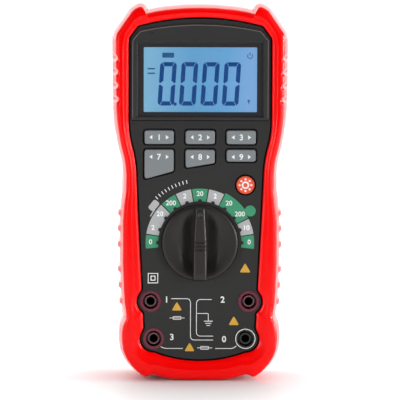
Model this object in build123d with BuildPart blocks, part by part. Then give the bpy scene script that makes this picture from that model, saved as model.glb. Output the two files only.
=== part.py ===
from build123d import *
from math import sqrt
import os

# A handheld digital multimeter in a rubber holster, standing upright on its lower end.
# X runs across the meter, Z runs up it, and the face looks along -Y. The origin is the
# middle of the bounding box's underside. Depths are levels measured forward from the
# mid-plane: a larger level lies nearer the user, and the back has negative levels.

# Overall sizes
height = 190.5
width = 89.8
depth = 56.0

# Levels and skins
knob_rise = 10.0
rim_rise = 2.0
back_lip = 1.5
panel_thickness = 2.5
case_wall = 2.2
holster_wall = 3.9
parting_level = 9.0
panel_level = depth / 2 - knob_rise
panel_inside = panel_level - panel_thickness
rim_level = panel_level + rim_rise
back_level = -depth / 2
case_back = back_level + back_lip

# Clearances
loose_gap = 0.15
seat_gap = 0.2
clear_gap = 0.3
running_gap = 0.06
screw_gap = 0.05

# Case outline: heights stand on the foot, and "down" sizes hang from the top
rib_rise = 1.0
case_half = width / 2 - holster_wall
case_top = height - holster_wall
case_foot = holster_wall
crown_half = 33.0
crown_drop = 5.8
shoulder_down = 18.0
flank_down = 57.0
flank_draw = 0.7
flank_bow = 0.8
bend_inset = 3.8
bend_height = 117.5
bend_bow = 0.35
waist_inset = 5.4
waist_height = 102.0
waist_bow = 0.25
hip_inset = 4.5
hip_height = 86.0
knee_draw = 0.8
foot_height = 22.0
toe_inset = 17.0
toe_drop = 2.4
toe_bow_inset = 4.2
toe_bow_height = 7.2

# Panel that shows inside the holster's rim: insets from the case outline
panel_inset = 4.9
panel_bend_inset = 6.9
panel_waist_inset = 8.9
panel_hip_inset = 9.6
panel_knee_inset = 11.6
panel_shin_inset = 12.5
panel_toe_inset = 14.7
panel_flank_bow = 0.4
panel_bend_bow = 0.5
panel_down = 6.9
panel_crown_bow = 1.4
panel_crown_draw = 4.6
panel_crown_drop = 4.3
panel_shoulder_drop = 10.6
panel_flank_drop = 0.9
panel_foot = 9.8
panel_toe_rise = 5.6
panel_toe_bow = 1.4

# Holster details
edge_draw = 1.75
edge_depth = 5.0
back_draw = 1.5
back_edge_depth = 6.0
back_lip_width = 5.0
rib_tall = 3.5
rib_level = 12.0
upper_ribs = (84.3, 76.5, 68.4)
lower_ribs = (55.8, 47.7, 39.6)
groove_tall = 2.8
groove_deep = 1.0
groove_pitch = 6.95
groove_count = 4
groove_down = 27.4
lug_level = 12.0
foot_pad_width = 20.0
# upper lugs: across from the end of the crown and down from the top
upper_lug_peak = ((-7.0, 5.0), (-3.2, 0.2), (1.9, 1.3))
# their flank: in from the side and down from the top
upper_lug_flank = ((0.5, 13.5), (0.5, 20.0))
# lower lugs: in from the case's widest line, and height
lower_lug = (
    (17.0, 12.0),
    (17.0, 3.0),
    (15.5, 0.0),
    (12.7, 0.0),
    (9.8, 3.3),
    (5.8, 7.3),
    (3.0, 11.4),
    (1.6, 15.4),
    (0.6, 27.5),
    (1.9, 32.5),
    (4.0, 32.5),
)

# Test lead jacks, at the standard pitch for shrouded 4 mm plugs
jack_pitch = 19.05
upper_jack_x = 24.8
lower_jack_x = 23.2
lower_jack_height = 21.1
upper_jack_height = lower_jack_height + sqrt(jack_pitch**2 - (upper_jack_x - lower_jack_x) ** 2)
jack_bore = 2.05
jack_tube_wall = 0.95
jack_tube_length = 20.0
jack_end_wall = 1.0
jack_flange_radius = 4.5
jack_sleeve_wall = 0.85
jack_recess_radius = 3.95
jack_insert_wall = 1.05
jack_collar_brim = 0.3
jack_collar_rise = 0.4
jack_collar_spigot = 0.8
jack_sleeve_setback = 1.2
jack_floor = 1.4
jack_boss_wall = 1.4
jack_bulge_radius = 7.1

# Range selector
dial_height = 69.8
knob_radius = 19.1
knob_base = 3.0
knob_bevel = 0.8
knob_dish = 0.9
knob_rim = 1.4
grip_top_half = 2.1
grip_foot_half = 3.3
grip_taper = 4.0
grip_round = 6.0
hub_radius = 7.0
drive_half = 4.0
rotor_radius = 21.0
rotor_thickness = 3.6
rotor_gap = 0.4
detent_count = 20
detent_ring_gap = 1.2
detent_ring_wall = 2.0
detent_ring_tall = 4.5
detent_notch = 1.2
ball_radius = 1.25
spring_radius = 1.15
spring_length = 3.2
spring_turns = 6
coil_press = 1.02
wiper_spots = ((9.5, 90), (13.0, 210), (16.5, 330))
wiper_size = (2.4, 1.2)

# Keys
key_width = 14.65
key_tall = 6.8
key_row_above_dial = 53.4
lower_row_drop = 6.3
left_key_drops = (14.9, 10.8)
middle_key_drops = (9.2, 6.7)
right_key_drops = (5.9, 5.9)
key_column = 20.7
key_rise = 1.0
key_travel = 1.0
key_slot_gap = 0.4
key_flange = 1.0
key_flange_thickness = 1.2
key_corner = 1.2
key_edge = 0.35
light_key_x = 22.9
light_key_above_dial = 29.3
light_key_radius = 4.5
mat_thickness = 1.0
mat_margin = 1.5
dome_radius = 2.6

# Display
bezel_rise = 1.2
bezel_half = 34.6
bezel_down = 10.3
bezel_tall = 48.4
bezel_arch = 3.3
bezel_arch_half = 30.5
bezel_corner_drop = 4.7
bezel_edge = 0.4
bezel_draft = 30
lens_half = 31.3
lens_down = 19.9
lens_tall = 36.7
lens_thickness = 1.6
lens_seat = 1.3
view_half = 28.5
view_down = 22.0
view_tall = 32.6
glass_margin = 3.2
glass_thickness = 2.4
light_thickness = 3.0
light_margin = 0.8
frame_wall = 1.6
frame_ledge = 1.5
strip_width = 1.6

# Circuit board and what stands on it
board_level = 7.0
board_thickness = 1.6
board_margin = 1.0
board_foot = 10.0
board_back = board_level - board_thickness
fuse_height = 78.0
fuse_x = 24.0
high_fuse = (5.15, 38.0)
low_fuse = (3.15, 32.0)
fuse_cap = 6.0
fuse_cap_rise = 0.15
clip_sheet = 0.7
clip_width = 5.0
clip_stand = 1.0
chip_places = ((0, 142, 14, 14), (-21, 128, 9, 9), (-20, 150, 7, 5))
chip_thickness = 1.6
capacitor_places = ((18, 127), (25.5, 127), (-29, 150))
capacitor_radius = 3.15
capacitor_tall = 9.0
capacitor_edge = 0.5
buzzer_place = (20.0, 150.0)
buzzer_radius = 8.5
buzzer_tall = 5.5
buzzer_hole = 1.2
absorber_columns = (-9.0, 0.0, 9.0)
absorber_height = 34.0
absorber_radius = 4.5
absorber_thickness = 3.2
shunt_height = 45.0
shunt_half = 7.0
shunt_leg = 1.5
shunt_radius = 0.9

# Battery bay for a standard 9 V block
battery_width = 26.5
battery_thick = 17.5
battery_tall = 46.4
battery_corner = 1.5
battery_foot = 53.0
stud_tall = 2.6
stud_pitch = 12.7
stud_radii = (2.85, 3.9)
contact_wall = 0.8
contact_plate = 1.6
bay_gap = 0.5
bay_wall = 1.6
bay_rim = 1.9
bay_rim_depth = 9.5
door_half = 17.0
door_foot = 47.0
door_tall = 62.0
door_thickness = 2.2
door_edge = 0.4
pad_thickness = 0.6
pad_inset = 2.0

# Tilt stand
stand_half = 30.0
stand_arm = 8.0
stand_thickness = 5.0
stand_foot = 35.0
stand_bar = 8.0
stand_gap = 0.4
stand_pivot_height = 126.0
stand_pin_radius = 1.6
stand_pin_reach = 2.4
stand_end_flat = 0.05
pivot_block_wall = 3.2
notch_half = 8.0
notch_tall = 7.0

# Fasteners
screw_radius = 1.4
screw_head_radius = 2.6
screw_head_tall = 1.6
screw_boss_wall = 1.5
screw_bite = 6.0
case_screw_depth = 6.5
case_screw_spots = ((14.0, height - 11.0), (12.0, 14.5))
board_screw_insets = (15.0, 7.5, 11.5)
board_screw_down = 13.8
board_screw_lift = 1.5
board_screw_foot = 52.0
door_screw_x = 10.0
door_screw_bite = 5.0
screw_cross = 0.6
screw_cross_long = 3.4
screw_head_edge = 0.3

board_screw_heights = (
    height - board_screw_down,
    (height - flank_down + bend_height) / 2 + board_screw_lift,
    board_screw_foot,
)
board_screw_spots = [
    (case_half - inset, z) for inset, z in zip(board_screw_insets, board_screw_heights)
]
jack_spots = {
    "current": (-upper_jack_x, upper_jack_height),
    "voltage": (upper_jack_x, upper_jack_height),
    "milliamp": (-lower_jack_x, lower_jack_height),
    "common": (lower_jack_x, lower_jack_height),
}
key_row_height = dial_height + key_row_above_dial
lower_row_top = key_row_height - lower_row_drop
light_key_height = dial_height + light_key_above_dial


def at(level, x=0.0, z=0.0):
    """Plane parallel to the face at a level, centred on a spot; it looks at the user."""
    return Plane(origin=(x, -level, z), x_dir=(1, 0, 0), z_dir=(0, -1, 0))


def finish(builder, name):
    """Label a finished sub-part and write it to its own STEP file."""
    builder.part.label = name
    export_step(builder.part, f"parts/{name}.step")


def both_sides(spots):
    """The given places together with their mirror images across the middle."""
    return [(side * x, z) for x, z in spots for side in (1, -1)]


def case_outline(grow=0.0):
    """Outline of the plastic case from the front, grown by a margin all round."""
    hip_half = case_half - hip_inset
    toe_half = case_half - toe_inset
    shoulder_height = height - shoulder_down
    flank_height = height - flank_down
    with BuildSketch() as outline:
        with BuildLine():
            ThreePointArc(
                (0, case_top),
                (crown_half / 2, case_top - crown_drop / 4),
                (crown_half, case_top - crown_drop),
            )
            Line((crown_half, case_top - crown_drop), (case_half, shoulder_height))
            Line((case_half, shoulder_height), (case_half - flank_draw, flank_height))
            ThreePointArc(
                (case_half - flank_draw, flank_height),
                (case_half - flank_draw - flank_bow, (flank_height + bend_height) / 2),
                (case_half - bend_inset, bend_height),
            )
            ThreePointArc(
                (case_half - bend_inset, bend_height),
                (case_half - waist_inset + bend_bow, (bend_height + waist_height) / 2),
                (case_half - waist_inset, waist_height),
            )
            ThreePointArc(
                (case_half - waist_inset, waist_height),
                (case_half - waist_inset + waist_bow, (waist_height + hip_height) / 2),
                (hip_half, hip_height),
            )
            Line((hip_half, hip_height), (hip_half - knee_draw, foot_height))
            ThreePointArc(
                (hip_half - knee_draw, foot_height),
                (hip_half - toe_bow_inset, case_foot + toe_bow_height),
                (toe_half, case_foot + toe_drop),
            )
            ThreePointArc(
                (toe_half, case_foot + toe_drop),
                (toe_half / 2, case_foot + toe_drop / 4),
                (0, case_foot),
            )
            mirror(about=Plane.YZ)
        make_face()
        if grow:
            offset(amount=grow)
    return outline.sketch


def panel_outline():
    """Outline of the face that shows inside the holster's rim, with the jack bulges."""
    half = case_half - panel_inset
    top = height - panel_down
    crown_half_width = half - panel_crown_draw
    shoulder_height = top - panel_shoulder_drop
    flank_height = height - flank_down - panel_flank_drop
    toe = (case_half - panel_toe_inset, panel_foot + panel_toe_rise)
    with BuildSketch() as outline:
        with BuildLine():
            crown = ThreePointArc(
                (0, top),
                (half / 2, top - panel_crown_bow),
                (crown_half_width, top - panel_crown_drop),
            )
            Line(crown @ 1, (half, shoulder_height))
            Line((half, shoulder_height), (half, flank_height))
            ThreePointArc(
                (half, flank_height),
                (half - panel_flank_bow, (flank_height + bend_height) / 2),
                (case_half - panel_bend_inset, bend_height),
            )
            ThreePointArc(
                (case_half - panel_bend_inset, bend_height),
                (
                    case_half - panel_waist_inset + panel_bend_bow,
                    (bend_height + waist_height) / 2,
                ),
                (case_half - panel_waist_inset, waist_height),
            )
            Polyline(
                (case_half - panel_waist_inset, waist_height),
                (case_half - panel_hip_inset, hip_height),
                (case_half - panel_knee_inset, upper_jack_height + jack_bulge_radius),
                (case_half - panel_shin_inset, lower_jack_height + jack_bulge_radius),
                toe,
            )
            ThreePointArc(toe, (case_half / 3, panel_foot + panel_toe_bow), (0, panel_foot))
            mirror(about=Plane.YZ)
        make_face()
        with Locations(*jack_spots.values()):
            Circle(jack_bulge_radius)
    return outline.sketch


def key_outline(grow=0.0, drops=(key_tall, key_tall)):
    """Outline of a key hung from its top edge, with its own drop at each lower corner."""
    half = key_width / 2
    with BuildSketch() as outline:
        with BuildLine():
            Polyline((-half, 0), (half, 0), (half, -drops[1]), (-half, -drops[0]), close=True)
        make_face()
        fillet(outline.vertices(), key_corner)
        if grow:
            offset(amount=grow)
    return outline.sketch


def light_key_outline(grow=0.0):
    """Outline of the round backlight key."""
    with BuildSketch() as outline:
        Circle(light_key_radius + grow)
    return outline.sketch


def stand_outline(grow=0.0):
    """The tilt stand's U from behind: two arms up to the pivot and a bar at the foot."""
    top = stand_pivot_height + stand_thickness / 2
    with BuildSketch() as outline:
        with Locations((0, (stand_foot + top) / 2)):
            Rectangle(2 * (stand_half + grow), top - stand_foot + 2 * grow)
        inner_tall = top - stand_foot - stand_bar
        with Locations((0, stand_foot + stand_bar + grow + inner_tall / 2 + grow)):
            Rectangle(
                2 * (stand_half - stand_arm - grow), inner_tall + 4 * grow, mode=Mode.SUBTRACT
            )
    return outline.sketch


def shifted(outline, x, z):
    """An outline moved across the face."""
    return Pos(x, z) * outline


top_row = key_row_height + key_tall / 2
keys = {
    "function_key": (-key_column, top_row, (key_tall, key_tall)),
    "relative_key": (0, top_row, (key_tall, key_tall)),
    "minmax_key": (key_column, top_row, (key_tall, key_tall)),
    "range_key": (-key_column, lower_row_top, left_key_drops),
    "frequency_key": (0, lower_row_top, middle_key_drops),
    "hold_key": (key_column, lower_row_top, right_key_drops),
}

lens_height = height - lens_down - lens_tall / 2
view_height = height - view_down - view_tall / 2
sleeve_radius = jack_bore + jack_sleeve_wall
insert_radius = jack_recess_radius + jack_insert_wall
tube_radius = jack_bore + jack_tube_wall
tube_level = parting_level
detent_ring = rotor_radius + detent_ring_gap
screw_hole = screw_radius + screw_gap
screw_boss = screw_radius + screw_boss_wall
door_inside = case_back + door_thickness
battery_back = door_inside + pad_thickness + bay_gap / 5
battery_front = battery_back + battery_thick
bay_front = battery_front + clear_gap
bay_half = battery_width / 2 + bay_gap
bay_foot = battery_foot - bay_gap
contact_level = battery_foot + battery_tall + stud_tall + clear_gap
bay_top = contact_level + contact_plate + bay_gap
pivot_level = case_back + stand_thickness / 2
stand_floor = case_back + stand_thickness + stand_gap
battery_middle = (battery_back + battery_front) / 2
pivot_x = stand_half + stand_gap + pivot_block_wall / 2
pivot_spots = both_sides([(pivot_x, stand_pivot_height)])
door_screw_spots = both_sides([(door_screw_x, (door_foot + bay_foot) / 2)])

os.makedirs("parts", exist_ok=True)

# The front case: a shallow shell with the panel, its openings and its inner bosses.
with BuildPart() as front_case:
    with BuildSketch(at(panel_level)):
        add(case_outline())
    extrude(amount=parting_level - panel_level)
    with BuildSketch(at(panel_inside)):
        add(case_outline(-case_wall))
    extrude(amount=parting_level - panel_inside, mode=Mode.SUBTRACT)
    # bosses for the board screws, the case screws and the jack inserts
    with BuildSketch(at(panel_inside)):
        with Locations(*both_sides(board_screw_spots)):
            Circle(screw_boss)
        with Locations(*both_sides(case_screw_spots)):
            Circle(screw_boss)
    extrude(amount=board_level - panel_inside)
    with BuildSketch(at(panel_inside)):
        with Locations(*jack_spots.values()):
            Circle(insert_radius + jack_boss_wall)
    extrude(amount=tube_level - panel_inside)
    # the notched ring that the detent balls click along
    with BuildSketch(at(panel_inside)):
        with Locations((0, dial_height)):
            Circle(detent_ring + detent_ring_wall)
            Circle(detent_ring, mode=Mode.SUBTRACT)
            with PolarLocations(detent_ring, detent_count):
                Circle(detent_notch, mode=Mode.SUBTRACT)
    extrude(amount=-detent_ring_tall)
    # display opening with the window's seat
    with BuildSketch(at(panel_level)):
        with Locations((0, lens_height)):
            Rectangle(2 * (lens_half + lens_seat), lens_tall + 2 * lens_seat)
    extrude(amount=-lens_thickness, mode=Mode.SUBTRACT)
    with BuildSketch(at(panel_level)):
        with Locations((0, view_height)):
            Rectangle(2 * (view_half + light_margin), view_tall + 2 * light_margin)
    extrude(amount=-panel_thickness, mode=Mode.SUBTRACT)
    # key slots
    with BuildSketch(at(panel_level)):
        for x, z, drops in keys.values():
            add(shifted(key_outline(key_slot_gap, drops), x, z))
        add(shifted(light_key_outline(key_slot_gap), light_key_x, light_key_height))
    extrude(amount=-panel_thickness, mode=Mode.SUBTRACT)
    # hub hole and jack holes
    with BuildSketch(at(panel_level)):
        with Locations((0, dial_height)):
            Circle(hub_radius + running_gap)
        with Locations(*jack_spots.values()):
            Circle(insert_radius + screw_gap)
    extrude(amount=tube_level - panel_level, mode=Mode.SUBTRACT)
    # pilot holes for the screws
    with BuildSketch(at(board_level)):
        with Locations(*both_sides(board_screw_spots)):
            Circle(screw_hole)
        with Locations(*both_sides(case_screw_spots)):
            Circle(screw_hole)
    extrude(amount=screw_bite + clear_gap, mode=Mode.SUBTRACT)
finish(front_case, "front_case")

# The rear case: a deep tray with the battery bay, the stand's recess and its pivot holes.
with BuildPart() as rear_case:
    with BuildSketch(at(case_back)):
        add(case_outline())
    extrude(amount=parting_level - case_back)
    with BuildSketch(at(parting_level)):
        add(case_outline(-case_wall))
    extrude(amount=case_back + case_wall - parting_level, mode=Mode.SUBTRACT)
    # screw columns that also clamp the board
    with BuildSketch(at(case_back)):
        with Locations(*both_sides(case_screw_spots)):
            Circle(screw_head_radius + screw_boss_wall)
    extrude(amount=case_screw_depth + screw_boss_wall)
    with BuildSketch(at(case_back)):
        with Locations(*both_sides(case_screw_spots)):
            Circle(screw_boss)
    extrude(amount=board_back - loose_gap - case_back)
    # trough round the stand's recess, with a thicker wall at the pivots
    with BuildSketch(at(case_back)):
        add(stand_outline(stand_gap + case_wall))
        with Locations((0, stand_foot - notch_tall / 2)):
            Rectangle(2 * (notch_half + case_wall), notch_tall + 2 * case_wall)
    extrude(amount=stand_floor + case_wall - case_back)
    with BuildSketch(at(case_back)):
        with Locations(*pivot_spots):
            Rectangle(pivot_block_wall, 2 * stand_thickness)
    extrude(amount=stand_floor + case_wall - case_back)
    # battery bay: a rim that carries the door, and walls up to the bay's floor
    with BuildSketch(at(case_back)):
        with Locations((0, door_foot + door_tall / 2)):
            Rectangle(2 * (door_half + bay_rim), door_tall + 2 * bay_rim)
    extrude(amount=bay_rim_depth)
    with BuildSketch(at(case_back)):
        with Locations((0, (bay_foot + bay_top) / 2)):
            Rectangle(2 * (bay_half + bay_wall), bay_top - bay_foot + 2 * bay_wall)
    extrude(amount=bay_front + bay_wall - case_back)
    with BuildSketch(at(case_back)):
        with Locations((0, (bay_foot + bay_top) / 2)):
            Rectangle(2 * bay_half, bay_top - bay_foot)
    extrude(amount=bay_front - case_back, mode=Mode.SUBTRACT)
    with BuildSketch(at(case_back)):
        with Locations((0, door_foot + door_tall / 2)):
            Rectangle(2 * (door_half + clear_gap), door_tall + 2 * clear_gap)
    extrude(amount=door_thickness, mode=Mode.SUBTRACT)
    with BuildSketch(at(door_inside)):
        with Locations(*door_screw_spots):
            Circle(screw_hole)
    extrude(amount=door_screw_bite + clear_gap, mode=Mode.SUBTRACT)
    # the stand's recess, the finger notch under its bar and the pivot holes
    with BuildSketch(at(case_back)):
        add(stand_outline(stand_gap))
        with Locations((0, stand_foot - notch_tall / 2)):
            Rectangle(2 * notch_half, notch_tall + 2 * stand_gap)
    extrude(amount=stand_floor - case_back, mode=Mode.SUBTRACT)
    with Locations((0, -pivot_level, stand_pivot_height)):
        Cylinder(
            stand_pin_radius + running_gap,
            2 * (stand_half + stand_pin_reach + clear_gap),
            rotation=(0, 90, 0),
            mode=Mode.SUBTRACT,
        )
    # case screw holes and the wells for their heads
    with BuildSketch(at(case_back)):
        with Locations(*both_sides(case_screw_spots)):
            Circle(screw_hole)
    extrude(amount=board_level - case_back, mode=Mode.SUBTRACT)
    with BuildSketch(at(case_back)):
        with Locations(*both_sides(case_screw_spots)):
            Circle(screw_head_radius + loose_gap)
    extrude(amount=case_screw_depth, mode=Mode.SUBTRACT)
finish(rear_case, "rear_case")

# The holster: a rubber boot with a proud rim, corner lugs, ribs and finger grooves.
with BuildPart() as holster:
    with BuildSketch(at(rim_level)):
        add(case_outline(holster_wall - edge_draw))
    extrude(amount=-edge_depth)
    with BuildSketch(at(back_level)):
        add(case_outline(holster_wall - back_draw))
    extrude(amount=back_edge_depth)
    with BuildSketch(at(rim_level - edge_depth)):
        add(case_outline(holster_wall))
    extrude(amount=back_level + back_edge_depth - rim_level + edge_depth)
    with BuildSketch(at(lug_level)):
        with BuildLine():
            Polyline(
                *[(crown_half + x, height - drop) for x, drop in upper_lug_peak],
                *[(width / 2 - x, height - drop) for x, drop in upper_lug_flank],
                (crown_half + upper_lug_peak[0][0], height - upper_lug_flank[1][1]),
                close=True,
            )
        make_face()
        with BuildLine():
            Polyline(*[(case_half - x, z) for x, z in lower_lug], close=True)
        make_face()
        mirror(about=Plane.YZ)
        with Locations((0, case_foot / 2)):
            Rectangle(foot_pad_width, case_foot)
    extrude(amount=-2 * lug_level - back_edge_depth)
    with BuildSketch(at(rib_level)):
        for z in upper_ribs + lower_ribs:
            with Locations((0, z)):
                Rectangle(2 * (case_half - hip_inset + holster_wall + rib_rise), rib_tall)
    extrude(amount=-2 * rib_level)
    with BuildSketch(at(rim_level)):
        for step in range(groove_count):
            groove_x = case_half + holster_wall - edge_draw
            groove_z = height - groove_down - step * groove_pitch
            with Locations((groove_x, groove_z), (-groove_x, groove_z)):
                Rectangle(2 * groove_deep, groove_tall)
    extrude(amount=-edge_depth, mode=Mode.SUBTRACT)
    with BuildSketch(at(panel_level)):
        add(case_outline(loose_gap))
    extrude(amount=case_back - panel_level, mode=Mode.SUBTRACT)
    with BuildSketch(at(rim_level)):
        add(panel_outline())
    extrude(amount=-rim_rise, mode=Mode.SUBTRACT)
    with BuildSketch(at(back_level)):
        add(case_outline(-back_lip_width))
    extrude(amount=back_lip, mode=Mode.SUBTRACT)
finish(holster, "holster")

# The display's raised surround, with a sloped opening.
with BuildPart() as display_bezel:
    bezel_top = height - bezel_down
    bezel_shoulder = bezel_top - bezel_arch
    with BuildSketch(at(panel_level)):
        with BuildLine():
            ThreePointArc(
                (0, bezel_top),
                (bezel_arch_half / 2, bezel_top - bezel_arch / 4),
                (bezel_arch_half, bezel_shoulder),
            )
            Polyline(
                (bezel_arch_half, bezel_shoulder),
                (bezel_half, bezel_shoulder - bezel_corner_drop),
                (bezel_half, bezel_top - bezel_tall),
                (0, bezel_top - bezel_tall),
            )
            mirror(about=Plane.YZ)
        make_face()
    extrude(amount=bezel_rise)
    outer_edges = display_bezel.faces().sort_by(Axis.Y)[0].edges()
    chamfer(outer_edges, bezel_edge)
    with BuildSketch(at(panel_level)):
        with Locations((0, lens_height)):
            Rectangle(2 * lens_half, lens_tall)
    extrude(amount=bezel_rise, taper=-bezel_draft, mode=Mode.SUBTRACT)
finish(display_bezel, "display_bezel")

with BuildPart() as display_window:
    with BuildSketch(at(panel_level)):
        with Locations((0, lens_height)):
            Rectangle(
                2 * (lens_half + lens_seat - loose_gap), lens_tall + 2 * (lens_seat - loose_gap)
            )
    extrude(amount=-lens_thickness)
finish(display_window, "display_window")

glass_half = view_half + glass_margin
glass_tall = view_tall + 2 * glass_margin
glass_level = panel_inside - seat_gap
light_level = glass_level - glass_thickness

with BuildPart() as lcd_glass:
    with BuildSketch(at(glass_level)):
        with Locations((0, view_height)):
            Rectangle(2 * glass_half, glass_tall)
    extrude(amount=-glass_thickness)
finish(lcd_glass, "lcd_glass")

with BuildPart() as backlight_plate:
    with BuildSketch(at(light_level)):
        with Locations((0, view_height)):
            Rectangle(2 * glass_half, view_tall + 2 * light_margin)
    extrude(amount=-light_thickness)
finish(backlight_plate, "backlight_plate")

with BuildPart() as lcd_connectors:
    with BuildSketch(at(light_level)):
        strip_offset = (glass_tall - strip_width) / 2
        with Locations((0, view_height + strip_offset), (0, view_height - strip_offset)):
            Rectangle(2 * view_half, strip_width)
    extrude(amount=board_level - light_level)
finish(lcd_connectors, "lcd_connectors")

with BuildPart() as lcd_frame:
    frame_half = glass_half + loose_gap + frame_wall
    frame_tall = glass_tall + 2 * (loose_gap + frame_wall)
    with BuildSketch(at(glass_level)):
        with Locations((0, view_height)):
            Rectangle(2 * frame_half, frame_tall)
            Rectangle(
                2 * (glass_half + loose_gap), glass_tall + 2 * loose_gap, mode=Mode.SUBTRACT
            )
    extrude(amount=board_level - glass_level)
    with BuildSketch(at(light_level - light_thickness)):
        ledge_x = glass_half + loose_gap - frame_ledge / 2
        with Locations((ledge_x, view_height), (-ledge_x, view_height)):
            Rectangle(frame_ledge, view_tall)
    extrude(amount=board_level - light_level + light_thickness)
finish(lcd_frame, "lcd_frame")

# The keys: caps that stand through the panel on flanges that keep them in.
key_back = panel_inside - seat_gap - key_flange_thickness


def make_key(name, cap, flange):
    """One push key: cap, softened front edge and retaining flange."""
    with BuildPart() as key:
        with BuildSketch(at(panel_level + key_rise)):
            add(cap)
        extrude(amount=panel_inside - seat_gap - panel_level - key_rise)
        chamfer(key.faces().sort_by(Axis.Y)[0].edges(), key_edge)
        with BuildSketch(at(key_back)):
            add(flange)
        extrude(amount=key_flange_thickness)
    finish(key, name)


for key_name, (key_x, key_z, key_drops) in keys.items():
    make_key(
        key_name,
        shifted(key_outline(0, key_drops), key_x, key_z),
        shifted(key_outline(key_flange, key_drops), key_x, key_z),
    )
make_key(
    "backlight_key",
    shifted(light_key_outline(), light_key_x, light_key_height),
    shifted(light_key_outline(key_flange), light_key_x, light_key_height),
)

# The rubber keypad with a dome under each key, clear of the key's full travel.
with BuildPart() as keypad_mat:
    mat_half = key_column + key_width / 2 + mat_margin
    mat_top = top_row + mat_margin
    mat_foot = dial_height + detent_ring + detent_ring_wall + clear_gap
    with BuildSketch(at(board_level)):
        with Locations((0, (mat_top + mat_foot) / 2)):
            Rectangle(2 * mat_half, mat_top - mat_foot)
    extrude(amount=mat_thickness)
    dome_spots = [(x, z - min(drops) / 2) for x, z, drops in keys.values()]
    dome_spots.append((light_key_x, light_key_height))
    with BuildSketch(at(board_level + mat_thickness)):
        with Locations(*dome_spots):
            Circle(dome_radius)
    extrude(amount=key_back - key_travel - clear_gap - board_level - mat_thickness)
finish(keypad_mat, "keypad_mat")

# The range selector's knob: dished disc, tall finger grip, hub and square drive.
knob_seat = panel_level + clear_gap
knob_face = knob_seat + knob_base
dial_axis = Axis((0, 0, dial_height), (0, 1, 0))

with BuildPart() as selector_knob:
    with BuildSketch(Plane(origin=(0, 0, dial_height), x_dir=(0, 1, 0), z_dir=(1, 0, 0))):
        with BuildLine():
            Polyline(
                (-knob_seat, 0),
                (-knob_seat, knob_radius),
                (-knob_face + knob_bevel, knob_radius),
                (-knob_face, knob_radius - knob_bevel),
                (-knob_face, knob_radius - knob_bevel - knob_rim),
                (-knob_face + knob_dish, knob_radius / 2),
                (-knob_face + knob_dish, 0),
                close=True,
            )
        make_face()
    revolve(axis=dial_axis)
    with BuildSketch(at(knob_face - knob_dish, 0, dial_height)):
        with BuildLine():
            Polyline(
                (-grip_top_half, knob_radius + grip_foot_half),
                (grip_top_half, knob_radius + grip_foot_half),
                (grip_foot_half, 0),
                (grip_foot_half, -knob_radius - grip_foot_half),
                (-grip_foot_half, -knob_radius - grip_foot_half),
                (-grip_foot_half, 0),
                close=True,
            )
        make_face()
    extrude(amount=depth / 2 - knob_face + knob_dish, taper=grip_taper)
    with BuildSketch(at(knob_seat, 0, dial_height)):
        Circle(knob_radius)
    extrude(amount=depth / 2 - knob_seat, taper=grip_round, mode=Mode.INTERSECT)
    with BuildSketch(at(knob_seat, 0, dial_height)):
        Circle(hub_radius)
    extrude(amount=panel_inside - rotor_gap - knob_seat)
    with BuildSketch(at(panel_inside - rotor_gap, 0, dial_height)):
        Rectangle(2 * drive_half, 2 * drive_half)
    extrude(amount=-rotor_thickness)
finish(selector_knob, "selector_knob")

# The rotor that the knob drives: its rim carries the sprung detent balls.
rotor_front = panel_inside - rotor_gap
rotor_back = rotor_front - rotor_thickness
rotor_middle = (rotor_front + rotor_back) / 2
ball_centre = detent_ring - clear_gap - ball_radius
spring_outer = ball_centre - ball_radius - running_gap
spring_inner = spring_outer - spring_length
with BuildPart() as selector_rotor:
    with BuildSketch(at(rotor_front, 0, dial_height)):
        Circle(rotor_radius)
        Rectangle(
            2 * (drive_half + running_gap), 2 * (drive_half + running_gap), mode=Mode.SUBTRACT
        )
    extrude(amount=-rotor_thickness)
    bore_length = rotor_radius + ball_radius - spring_inner + running_gap
    bore_middle = rotor_radius + ball_radius - bore_length / 2
    for side in (1, -1):
        with Locations((side * bore_middle, -rotor_middle, dial_height)):
            Cylinder(
                ball_radius + running_gap, bore_length, rotation=(0, 90, 0), mode=Mode.SUBTRACT
            )
finish(selector_rotor, "selector_rotor")

with BuildPart() as detent_balls:
    with Locations(
        (ball_centre, -rotor_middle, dial_height), (-ball_centre, -rotor_middle, dial_height)
    ):
        Sphere(ball_radius)
finish(detent_balls, "detent_balls")

# Close-wound springs, drawn as a stack of coils in one ribbed sleeve.
with BuildPart() as detent_springs:
    coil = spring_length / spring_turns / 2
    spring_plane = Plane(origin=(0, -rotor_middle, dial_height), x_dir=(1, 0, 0), z_dir=(0, -1, 0))
    with BuildSketch(spring_plane):
        for turn in range(spring_turns):
            with Locations((spring_inner + coil * (2 * turn + 1), spring_radius - coil)):
                Circle(coil * coil_press)
        with Locations((spring_inner + spring_length / 2, spring_radius - 1.5 * coil)):
            Rectangle(spring_length, coil)
    revolve(axis=Axis((0, -rotor_middle, dial_height), (1, 0, 0)))
    mirror(about=Plane.YZ)
finish(detent_springs, "detent_springs")

with BuildPart() as rotor_contacts:
    with BuildSketch(at(rotor_back, 0, dial_height)):
        for radius, angle in wiper_spots:
            with PolarLocations(radius, 1, start_angle=angle):
                Rectangle(*wiper_size)
    extrude(amount=board_level + clear_gap - rotor_back)
finish(rotor_contacts, "rotor_contacts")

# The circuit board, drilled for the jacks and the screws.
with BuildPart() as circuit_board:
    with BuildSketch(at(board_level)):
        add(case_outline(-case_wall - board_margin))
        with Locations((0, board_foot / 2)):
            Rectangle(width, board_foot, mode=Mode.SUBTRACT)
        with Locations(*jack_spots.values()):
            Circle(tube_radius + loose_gap, mode=Mode.SUBTRACT)
        with Locations(*both_sides(board_screw_spots), *both_sides(case_screw_spots)):
            Circle(screw_radius + loose_gap, mode=Mode.SUBTRACT)
    extrude(amount=-board_thickness)
finish(circuit_board, "circuit_board")

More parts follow.
